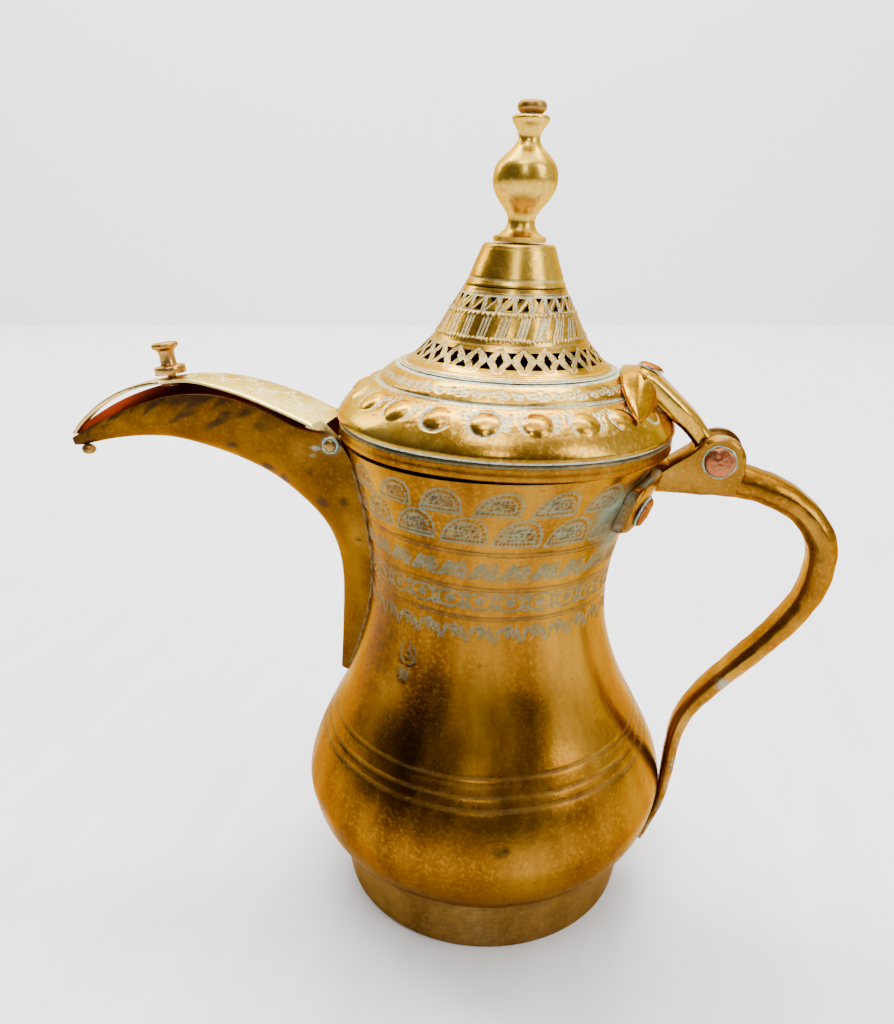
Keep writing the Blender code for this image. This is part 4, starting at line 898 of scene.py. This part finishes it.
# Painted shade under the handle's upper arm on its near side, and on the ears' inner faces in the hinge slot.
under = [(x - 0.2 * thick, -5.5, z - 0.45 * thick, 2.2, 0.75) for x, z, thick, wide in stations[7:60]]
stain_and_shade(handle, under + [(LID_HINGE.x, y, LID_HINGE.z, 6.2, 0.5) for y in (-3.9, 3.9)], "dark")
greens = [(LID_HINGE.x, -3.8, LID_HINGE.z + 5.6, 2.8, 0.9),
          (LID_HINGE.x, 3.8, LID_HINGE.z + 5.6, 2.8, 0.9), (71.5, -4.2, 73.6, 2.4, 0.85)]
greens += [(x - az * thick * 0.4, -wide * 0.5, z + ax * thick * 0.4, 1.3, 0.25 + 0.3 * math.sin(i * 0.7)) for i,
           ((x, z, thick, wide), (ax, az))
           in enumerate(zip(stations, along)) if i > 95 and i % 2]
stain_and_shade(handle, greens)


def headed(name, centre, out, radius, height, length, shank, look, body_name, nodes, seed=0.0, hammer=0.16):
    """A beaten rivet or pin head along any direction, centre on the seat."""
    outline = [(0.0, -length), (shank, -length), (shank, -0.05), (radius * 0.94, 0.0)]
    outline += [(radius * math.cos(t), 0.18 * height + height * 0.82 * math.sin(t) ** 0.8)
                for t in np.linspace(0.02, math.pi / 2 - 0.06, 16)]
    outline += [(0.0, height)]
    turn = Vector((0, 0, 1)).rotation_difference(Vector(out)).to_matrix()
    made = lathe(name, outline, 72, None, look)
    for v in made.data.vertices:
        p = v.co / MM
        if p.z > -0.02:
            wobble = noise.noise(Vector((p.x, p.y, seed))
                                 * 0.75) * hammer * 2.2 + noise.noise(Vector((p.x, p.y, seed)) * 2.1) * hammer
            share = min(1.0, max(0.0, p.z / height))
            p.z += (wobble - 0.5 * hammer) * share
            around = 1 + 0.045 * noise.noise(Vector((p.x, p.y, 0)).normalized() * 1.2 + Vector((seed, 0, 0)))
            p.x, p.y = p.x * around, p.y * around
        v.co = (turn @ p + Vector(centre)) * MM
    finish_piece(made, body_name, nodes, 50)
    return made


def crust_ring(name, centre, out, radius, thick, body_name, seed=0.0):
    """The lumpy ring of verdigris round a rivet."""
    turn = Vector((0, 0, 1)).rotation_difference(Vector(out)).to_matrix()
    points = []
    for k in range(60):
        a = TAU * k / 60 + seed
        wave = 1 + 0.05 * noise.noise(Vector((math.cos(a) * 2, math.sin(a) * 2, seed)))
        points.append(turn @ Vector((radius * wave * math.cos(a), radius * wave * math.sin(a), 0)) + Vector(centre))
    points.append(points[0])
    radii = [thick * (0.75 + 0.5 * noise.noise(Vector(p) * 0.9 + Vector((seed, 0, 0)))) for p in points]
    made = tube(name, points, radii, crust_look, 8, 0.5, seed)
    stain_and_shade(made, [(*centre, 50, 0.7)])
    finish_piece(made, body_name, ())
    return made


for side, name in ((-1, "near"), (1, "far")):
    seat = LID_HINGE + Vector((0, side * 6.6, 0))
    headed(f"hinge_pin_{name}", seat, (0, side, 0), 4.1, 1.55, 6.5, 1.85, copper, "pot", ["lid_hinge_pin"],
           side, 0.10)
    crust_ring(f"hinge_pin_crust_{name}", seat - Vector((0, side * 0.12, 0)), (0, side, 0), 4.25, 0.38, "pot",
               side)

# ---------------------------------------------------------------- saddle and its rivets
sections = []
half_angle = math.radians(29)
for k in range(61):
    share = 2 * k / 60 - 1
    round_end = math.sqrt(max(1 - abs(share) ** 5, 0.0))
    middle, half = 130.5, 8.1 * (0.55 + 0.45 * round_end)
    rows_of = ((-1.0, -half), (1.9, -half), (2.9, -half + 0.35), (3.45, 1.5 - half), (3.55, 3.4 - half), (3.3, 0.0),
               (3.55, half - 3.4), (3.45, half - 1.5), (2.9, half - 0.35), (1.9, half), (-1.0, half))
    sections.append([tuple(body_point(half_angle * share, middle + rise, out)) for out, rise in rows_of])
saddle = loft("saddle", sections, handle_brass)
apply_boolean(saddle, body_form(0.03))
finish_piece(saddle, "pot", ["handle_saddle"], 30)
edge_marks = []
for angle in np.linspace(-half_angle, half_angle, 40):
    for height in (122.6, 138.3):
        edge_marks.append((*body_point(angle, height, 1.5), 1.5, 0.8))
for height in np.linspace(124, 137, 12):
    for angle in (-half_angle, half_angle):
        edge_marks.append((*body_point(angle, height, 1.0), 1.6, 0.9))
stain_and_shade(saddle, edge_marks)
stain_and_shade(saddle, [(*body_point(math.radians(a), 126.0, 3.5), 3.5, 0.6) for a in (-26, 26)], "dark")
for side, name in ((-1, "near"), (1, "far")):
    angle = side * math.radians(17)
    around = Vector(body_point(angle + 0.01, 130)) - Vector(body_point(angle - 0.01, 130))
    upward = Vector(body_point(angle, 131)) - Vector(body_point(angle, 129))
    outward = around.cross(upward).normalized()
    seat = Vector(body_point(angle, 130)) + outward * 3.62
    headed(f"saddle_rivet_{name}_head", seat, outward, 4.25, 1.5, 6.2, 1.4, copper, "pot", [f"saddle_rivet_{name}"],
           3 + side, 0.12)
    crust_ring(f"saddle_crust_{name}", seat - outward * 0.15, outward, 4.4, 0.42, "pot",
               5 + side)

# ---------------------------------------------------------------- lid strap
stations = smooth(STRAP, 60)
along = np.gradient(stations[:, :2], axis=0)
along /= np.linalg.norm(along, axis=1)[:, None]
sections = []
for i, ((x, z, thick, half), (ax, az)) in enumerate(zip(stations, along)):
    thick *= 1 + 0.5 * math.sin(math.pi * min(1.0, i / 60)) ** 0.7
    dx, dz = (az, -ax) if -ax < 0 else (-az, ax)
    sections.append(bar_section(x + dx * thick / 2, z + dz * thick / 2, -dx, -dz, thick * 0.98, 2 * half * 0.985,
                                0.22 * thick))
strap = loft("strap", sections, lid_brass)


def dome_height(radius):
    return float(np.interp(-radius, -dome_rows[10:, 0], dome_rows[10:, 1]))


# The leaf's top at its middle, level with the strap, in the lid's own frame.
CREST = 165.0 - LID_PLACE[2] + 36.5 * math.sin(LID_TILT)


def leaf_grid(rows, columns):
    low, high = [], []
    for i in range(rows):
        share = 2 * i / (rows - 1) - 1
        s = abs(share)
        left, right = (float(np.interp(s, [e[0] for e in LEAF], [e[n] for e in LEAF])) for n in (1, 2))
        pinch = math.sqrt(max(0.0, 1 - s**8))
        middle = (left + right) / 2
        left, right = middle + (left - middle) * pinch, middle + (right - middle) * pinch
        for j in range(columns + 1):
            across = j / columns
            x, y = left + (right - left) * across - LID_PLACE[0], 24.0 * share
            swell = max(0.0, math.sin(math.pi * across)) ** 0.5
            crease = 0.35 * math.exp(-((across - 0.5) / 0.07) ** 2) * max(0.0, 1 - s**2)
            height = dome_height(math.hypot(x, y)) + 0.35
            crest = 1 / (1 + (s / 0.33) ** 5)
            rise = (CREST - height) * crest + (3.2 + (1.45 - 3.2) * s**1.5) * (1 - crest)
            over = (0.25 + 0.75 * swell) * rise - crease
            low.append((x, y, height))
            high.append((x, y, height + over * 0.985))
    return np.array(low), np.array(high)


leaf_rows, leaf_columns = 97, 24
low, high = leaf_grid(leaf_rows, leaf_columns)
width = leaf_columns + 1
faces = grid_faces(leaf_rows, width, False, len(low), True) + grid_faces(leaf_rows, width, False)
border = [i * width for i in range(leaf_rows)] + [(leaf_rows - 1) * width + j for j in range(1, width)]
border += [i * width + leaf_columns for i in range(leaf_rows - 2, -1, -1)] + [j
    for j in range(leaf_columns - 1, 0, -1)]
faces += [(a, b, b + len(low), a + len(low)) for a, b in zip(border, border[1:] + border[:1])]
leaf = raw_object("strap_leaf", lid_place(np.concatenate([low, high])), faces, leaf_brass)
finish_piece(leaf, "lid", ["lid_strap"], 50)
apply_boolean(strap, drum("knuckle", 5.65, -3.45, 3.45, LID_HINGE, 0.5), "UNION")
apply_boolean(strap, drum("bore", 1.95, -20, 20, LID_HINGE, 0.01))
grown = [(r + 0.12, z + 0.12) for r, z in dome_rows[4:].tolist()]
form = lathe("under", [(0.0, -1), (46.9, -1), (47.0, 4.4)] + grown + [(0.0, grown[-1][1])], 128, lid_place)
apply_boolean(strap, form)
finish_piece(strap, "lid", ["lid_strap"], 32)
edge = [tuple(lid_place(np.array(p))) for p in np.concatenate([low[::width], low[leaf_columns::width]])[::2]]
stain_and_shade(strap, [(*p, 1.2, 0.6) for p in edge] + [(x, 0, z - t, 3.4, 0.6) for x, z, t, half in stations[::4]])
# Painted shade on the strap's underside and round its knuckle in the hinge slot.
stain_and_shade(strap, [(x, 0, z - thick, 3.0, 0.85) for x, z, thick, half in stations[::3]]
      + [(LID_HINGE.x, 0, LID_HINGE.z, 7, 0.6)], "dark")
STRAP_RIVET_X, STRAP_RIVET_SEAT, STRAP_RIVET_LEAN = 41.5, 165.6, math.radians(19)
reach = STRAP_RIVET_X - LID_PLACE[0]
seat = Vector(lid_place(np.array([reach, 0, STRAP_RIVET_SEAT - LID_PLACE[2] + reach * math.sin(LID_TILT)])))
seat += Vector((1.7, 0, -0.75))  # its beaten head has settled where the strap starts to fall
lean = Vector((math.sin(STRAP_RIVET_LEAN), 0, math.cos(STRAP_RIVET_LEAN)))
headed("strap_rivet_head", seat + lean * 0.02, lean, 3.3, 1.1, 8.0, 1.35, copper, "lid", ["strap_rivet"],
       9, 0.07)
crust_ring("strap_rivet_crust", seat, lean, 3.45, 0.28, "lid", 8)

# ---------------------------------------------------------------- spout
SIDE = 26


def spout_ring(keel_x, keel_z, edge_x, edge_z, half, far_rise):
    """One closed section of the channel, its outside from edge to edge and then its inside back."""
    keel, up = np.array([keel_x, 0, keel_z]), np.array([edge_x - keel_x, 0, edge_z - keel_z])
    near_depth = np.linalg.norm(up)
    up = up / near_depth
    wall = min(1.3, 0.5 * half)
    outside, inside = [], []
    for k in range(-SIDE, SIDE + 1):
        t = abs(k) / SIDE
        depth = near_depth + (far_rise if k > 0 else 0)
        side = math.copysign(1, k) * (0.3 * t + 0.7 * math.sin(math.pi / 2 * t))
        outside.append(keel + up * depth * t**1.5 + np.array([0, half * side, 0]))
        inner_depth = wall * 1.25 + (depth - wall * 1.25) * t**1.5
        inside.append(keel + up * inner_depth + np.array([0, (half - wall) * side, 0]))
    return outside + inside[::-1]


stations = smooth(SPOUT, 220)
sections = [spout_ring(*s) for s in stations]
spout = loft("spout_channel", sections, spout_brass)
dark, red = [], []
for i, section in enumerate(sections):
    place = i / len(sections)
    for k in range(len(section)):
        far = (k > SIDE) == (k <= 2 * SIDE)
        inside = k > 2 * SIDE
        rise = (abs((k if not inside else 4 * SIDE + 1 - k) - SIDE) / SIDE) ** 1.5
        drip = 0.80 + 0.50 * noise.noise(Vector((place * 34, 0.3 + 3 * far,
                                                 1.7))) + 0.25 * noise.noise(Vector((place * 90, rise * 3, 5)))
        stained = min(1.0, max(0.0, (rise - drip) * 6)) * min(1.0, max(0.0, (place - 0.52) * 8))
        stained = max(stained, 0.9 * min(1.0, max(0.0, (place - 0.93) * 12)))
        blot = noise.noise(Vector((place * 30, rise * 4, 9 + 3 * far))) - 0.36
        stained = max(stained, min(0.9, max(0.0, blot * 9)) * (place > 0.3))
        red.append(0.85 if inside else 0.0)
        dark.append(0.05 if inside else stained)
for mark, values in (("dark", dark), ("red", red)):
    spout.data.attributes.new(mark, "FLOAT", "POINT").data.foreach_set("value", np.array(values, np.float32))
for side in (-1, 1):
    boss = drum("boss", 2.55, 11.4, 13.5, COVER_HINGE, 0.35)
    if side < 0:
        boss.data.transform(Matrix.Scale(-1, 4, (0, 1, 0)))
        boss.data.flip_normals()
    apply_boolean(spout, boss, "UNION")
apply_boolean(spout, body_form(-0.15))
finish_piece(spout, "pot", ["spout"], 42)

# the seam where the channel is soldered on, found where its outside crosses the body's surface
for side, name in ((-1, "near"), (1, "far")):
    seam = []
    for section in sections[4:]:
        outer = section[:2 * SIDE + 1]
        half_of = outer[SIDE:] if side > 0 else outer[SIDE::-1]
        gaps = [math.hypot(p[0] - MOUTH_SHIFT * max(0, (p[2] - LEAN_START) / 63) ** 1.5, p[1]) - body_radius(p[2])
                for p in half_of]
        for a, b, ga, gb in zip(half_of, half_of[1:], gaps, gaps[1:]):
            if ga > 0 >= gb and a[2] < 142.5:
                seam.append(a + (b - a) * ga / (ga - gb))
                break
    seam = seam[::2]
    path = smooth(seam, 90)
    radii = [0.62 + 0.22 * noise.noise(Vector(p) * 0.35 + Vector((side, 0, 0))) for p in path]
    bead = tube(f"solder_{name}", path, radii, body_brass, 8, 0.45, side)
    finish_piece(bead, "pot", ())
    stain_and_shade(bead, [(*p, 1.8, 0.30 + 0.35 * math.sin(i * 1.3)) for i, p in enumerate(path)])
    stain_and_shade(bead, [(*p, 1.6, 0.7 + 0.3 * math.sin(i * 0.9 + 2)) for i, p in enumerate(path)], "dark")

stain_and_shade(spout, [(COVER_HINGE.x - 4.6, -11.4, COVER_HINGE.z - 1.2, 1.6, 0.9),
              (COVER_HINGE.x - 5.6, -11, COVER_HINGE.z - 3.2, 1.2, 0.8),
              (COVER_HINGE.x, -13.4, COVER_HINGE.z, 3.0, 0.8)])

bead = lathe("tip_drop", [(1.95 * math.sin(a), -1.72 * math.cos(a)) for a in np.linspace(0, math.pi, 24)], 40,
             lambda p: np.stack([p[..., 0] * 1.2 - 129.8, p[..., 1] * 0.98, p[..., 2] + 132.6], -1), foot_brass)
finish_piece(bead, "pot", ["spout_tip_bead"])
stain_and_shade(bead, [(-130.6, -1.2, 132.0, 1.6, 0.9), (-129.6, 0, 134.2, 2.0, 0.9)], "dark")
for side, name in ((-1, "near"), (1, "far")):
    seat = COVER_HINGE + Vector((0, side * 13.62, 0))
    headed(f"spout_pin_{name}", seat, (0, side, 0), 1.7, 0.9, 14, 0.85, foot_brass, "pot", ["spout_hinge_pin"],
           side, 0.03)
    crust_ring(f"spout_pin_crust_{name}", seat - Vector((0, side * 0.1, 0)), (0, side, 0), 2.15, 0.42, "pot",
               side + 2)

# ---------------------------------------------------------------- spout cover
stations = smooth(COVER, 200)
along = np.gradient(stations[:, :2], axis=0)
along /= np.linalg.norm(along, axis=1)[:, None]
run = np.concatenate([[0], np.cumsum(np.linalg.norm(np.diff(stations[:, :2], axis=0), axis=1))])
ACROSS = 40
strokes = []
for k in range(7):
    s, turn = 6 + 6.2 * k, (-1) ** k
    reach = 0.62 * np.interp(s, run, stations[:, 2])
    strokes += ring(s, turn * reach * 0.45, min(2.2, reach * 0.35), 0.4, 0.14, 12, 0.5, 5.2)
    strokes += ring(s + 2.2, -turn * reach * 0.5, min(1.8, reach * 0.3), 0.4, 0.14, 12, 2.5, 5.0)
    strokes += line([(s - 3, turn * reach), (s - 1, turn * reach * 0.2), (s + 2, -turn * reach * 0.3),
                     (s + 4, -turn * reach)], 0.4, 0.13)
    strokes += line([(s, turn * reach * 1.2), (s + 2, turn * reach * 1.35), (s + 4, turn * reach * 1.1)], 0.35,
                    0.12)
strokes = np.array(strokes)
tops, lows, marks = [], [], []
for (x, z, half), (ax, az), s in zip(stations, along, run):
    ux, uz = (-az, ax) if ax > 0 else (az, -ax)
    crown = 0.9 * min(half / 9, 1)
    y = np.linspace(-half, half, ACROSS + 1)
    gap_x, gap_y = strokes[:, 2] - strokes[:, 0], strokes[:, 3] - strokes[:, 1]
    t = ((s - strokes[:, 0]) * gap_x + (y[:, None] - strokes[:, 1]) * gap_y) / np.maximum(gap_x**2 + gap_y**2, 1e-9)
    t = np.clip(t, 0, 1)
    gap = np.hypot(s - strokes[:, 0] - t * gap_x, y[:, None] - strokes[:, 1] - t * gap_y)
    cut = np.clip(1.15 - (gap / (strokes[:, 4] * 0.62)) ** 2, 0, 1).max(1) * (1 if s < 52 else 0)
    lift = -crown * (y / half) ** 2 - 0.13 * cut - 0.25 * np.clip((np.abs(y) / half - 0.94) / 0.06, 0, 1) ** 2
    tops.append(np.stack([x + ux * lift, y, z + uz * lift], -1))
    sag = -crown * (y / half) ** 2 - 1.0 + 0.2 * np.clip((np.abs(y) / half - 0.94) / 0.06, 0, 1) ** 2
    lows.append(np.stack([x + ux * sag, y, z + uz * sag], -1))
    marks.append(np.concatenate([cut * 0.85, 0 * y]))
points = np.concatenate([np.concatenate([t, low[::-1]]) for t, low in zip(tops, lows)])
columns = 2 * (ACROSS + 1)
faces = grid_faces(len(stations), columns)
faces += [list(range(columns))[::-1], list(range((len(stations) - 1) * columns, len(stations) * columns))]
cover = mesh_piece("cover", points, faces, cover_brass, "spout_cover", ["spout_cover"],
                   {"green": np.concatenate(marks)}, 40)
mesh = bmesh.new()
mesh.from_mesh(cover.data)
bmesh.ops.recalc_face_normals(mesh, faces=mesh.faces)
mesh.to_mesh(cover.data)
mesh.free()
cover.data.set_sharp_from_angle(angle=math.radians(40))
for side, name in ((-1, "near"), (1, "far")):
    ear = drum(f"cover_ear_{name}", 2.25, 9.65, 10.95, COVER_HINGE, 0.25, cover_brass)
    if side < 0:
        ear.data.transform(Matrix.Scale(-1, 4, (0, 1, 0)))
        ear.data.flip_normals()
    tab = [(-2.2, 0.3), (1.6, 1.6), (-3.4, 6.4), (-8.2, 4.5)]
    plate = loft("tab", [[(COVER_HINGE.x + x, y, COVER_HINGE.z + z) for x, z in tab]
                         for y in (side * 9.7, side * 10.9)])
    apply_boolean(ear, plate, "UNION")
    finish_piece(ear, "spout_cover", ["spout_cover"])
    stain_and_shade(ear, [(COVER_HINGE.x, side * 10.9, COVER_HINGE.z, 4, 0.6)], "dark")

knob_place = Vector((-98, 0, 157.6))
knob_turn = Matrix.Rotation(math.radians(-8), 3, "Y")
knob_line = [(0.0, -3.1), (1.3, -3.1), (1.3, 0.4)] + [(4.5, 0.4), (4.65, 0.6), (4.65, 2.35), (4.5, 2.7),
                                                      (4.2, 2.88), (2.95, 3.0),
                                                      (2.55, 3.2)] + smooth(((2.4, 3.6), (2.3, 5.0),
        (2.35, 6.6), (2.6, 7.4), (3.1, 7.9), (3.7, 8.3), (3.93, 8.7), (3.93, 9.2), (3.75, 9.6), (3.3, 9.85)),
            40).tolist() + [(0.0, 9.9)]


def knob_at(points):
    turn = np.array(knob_turn)
    return points @ turn.T + np.array(knob_place)


knob = lathe("knob", knob_line, 72, knob_at, knob_brass)
finish_piece(knob, "spout_cover", ["cover_knob"], 38)
stain_and_shade(knob, [(-98, 0, 158.4, 5.2, 0.5)], "dark")

# ---------------------------------------------------------------- CAD solids that stay on show
for cad_name, look in (("base_plate", foot_brass), ("knob_washer", inner_brass), ("finial_washer", inner_brass)):
    cad = frame["nodes"][cad_name]
    cad.data.materials.clear()
    cad.data.materials.append(look)

# ---------------------------------------------------------------- room, light and camera
def plain(name, colour, rough, grain):
    made = bpy.data.materials.new(name)
    made.use_nodes = True
    tree = made.node_tree
    shader = tree.nodes["Principled BSDF"]
    shader.inputs["Roughness"].default_value = rough
    place = node(tree, "ShaderNodeTexCoord").outputs["Object"]
    stretch = node(tree, "ShaderNodeMapping")
    stretch.inputs["Scale"].default_value = (9, 1.2, 1)
    tree.links.new(place, stretch.inputs["Vector"])
    clouds = node(tree, "ShaderNodeTexNoise", Scale=6.0, Detail=6.0, Roughness=0.6)
    tree.links.new(stretch.outputs[0], clouds.inputs["Vector"])
    darker = tuple(c * (1 - grain) for c in colour)
    tree.links.new(ramp(tree, clouds.outputs["Fac"], ((0.35, darker), (0.65, colour))), shader.inputs["Base Color"])
    return made


def slab(name, corners, look):
    data = bpy.data.meshes.new(name)
    data.from_pydata(corners, [], [(0, 1, 2, 3)])
    obj = bpy.data.objects.new(name, data)
    scene.collection.objects.link(obj)
    data.materials.append(look)


slab("floor", [(-4, -3, 0), (4, -3, 0), (4, 3, 0), (-4, 3, 0)], plain("floor", (0.80, 0.785, 0.79), 0.42, 0.10))
slab("wall", [(-3.31, 0.78, 0), (2.68, 2.05, 0), (2.68, 2.05, 3), (-3.31, 0.78, 3)],
     plain("wall", (0.93, 0.93, 0.925), 0.7, 0.01))

world = bpy.data.worlds.new("room")
scene.world = world
world.use_nodes = True
tree = world.node_tree
background = tree.nodes["Background"]
direction = node(tree, "ShaderNodeTexCoord").outputs["Generated"]
split = node(tree, "ShaderNodeSeparateXYZ")
tree.links.new(direction, split.inputs[0])
height = sum_of(tree, "MULTIPLY", split.outputs[2], 0.5)
height = sum_of(tree, "ADD", height, 0.5)
sky = ramp(tree, height, ((0.0, (0.20, 0.17, 0.14)), (0.44, (0.26, 0.23, 0.20)), (0.56, (0.85, 0.85, 0.86)),
                          (1.0, (1.0, 1.0, 1.0))))
back = sum_of(tree, "MULTIPLY", split.outputs[1], 0.5)
back = sum_of(tree, "ADD", back, 0.5)
dim = ramp(tree, back, ((0.0, (0.16, 0.13, 0.11)), (0.22, (0.30, 0.27, 0.24)), (0.5, (1, 1, 1))))
across = sum_of(tree, "MULTIPLY", split.outputs[0], 0.5)
across = sum_of(tree, "ADD", across, 0.5)
side_dim = ramp(tree, across, ((0.0, (0.22, 0.20, 0.18)), (0.28, (0.45, 0.43, 0.41)), (0.62, (1, 1, 1))))
blend = node(tree, "ShaderNodeMix", data_type="RGBA", blend_type="MULTIPLY")
blend.inputs[0].default_value = 1.0
tree.links.new(sky, blend.inputs[6])
tree.links.new(dim, blend.inputs[7])
both = node(tree, "ShaderNodeMix", data_type="RGBA", blend_type="MULTIPLY")
both.inputs[0].default_value = 1.0
tree.links.new(blend.outputs[2], both.inputs[6])
tree.links.new(side_dim, both.inputs[7])
tree.links.new(both.outputs[2], background.inputs[0])
background.inputs[1].default_value = 1.35


def area(name, place, target, size, power, colour=(1, 1, 1)):
    lamp = bpy.data.lights.new(name, "AREA")
    lamp.shape, lamp.size, lamp.size_y = "RECTANGLE", size[0], size[1]
    lamp.energy, lamp.color = power, colour
    obj = bpy.data.objects.new(name, lamp)
    obj.location = place
    obj.rotation_euler = (Vector(target) - Vector(place)).to_track_quat("-Z", "Y").to_euler()
    scene.collection.objects.link(obj)


middle = (0, 0, 0.12)
area("window_left", (-1.3, 0.5, 1.1), middle, (0.4, 1.0), 12, (1.0, 0.99, 0.97))
area("window_right", (1.3, -0.5, 0.9), middle, (0.5, 1.1), 16, (0.97, 0.98, 1.0))
area("wall_wash", (-0.2, 0.7, 2.2), (-0.3, 1.4, 0.6), (2.4, 0.6), 120)
area("ceiling", (0.1, 0.5, 2.0), (0, 0.4, 0), (2.4, 2.4), 52)
area("front_strip", (0.12, -1.4, 1.2), middle, (0.14, 0.8), 7)
area("top_front", (-0.1, -0.55, 1.5), (0, 0, 0.2), (0.5, 0.4), 6)

camera = bpy.data.cameras.new("camera")
camera.lens, camera.sensor_width = 30.13, 36
view = bpy.data.objects.new("camera", camera)
view.location = (0.03826, -0.23723, 0.204)
view.rotation_euler = (math.radians(70.8), 0, math.radians(12))
scene.collection.objects.link(view)
scene.camera = view
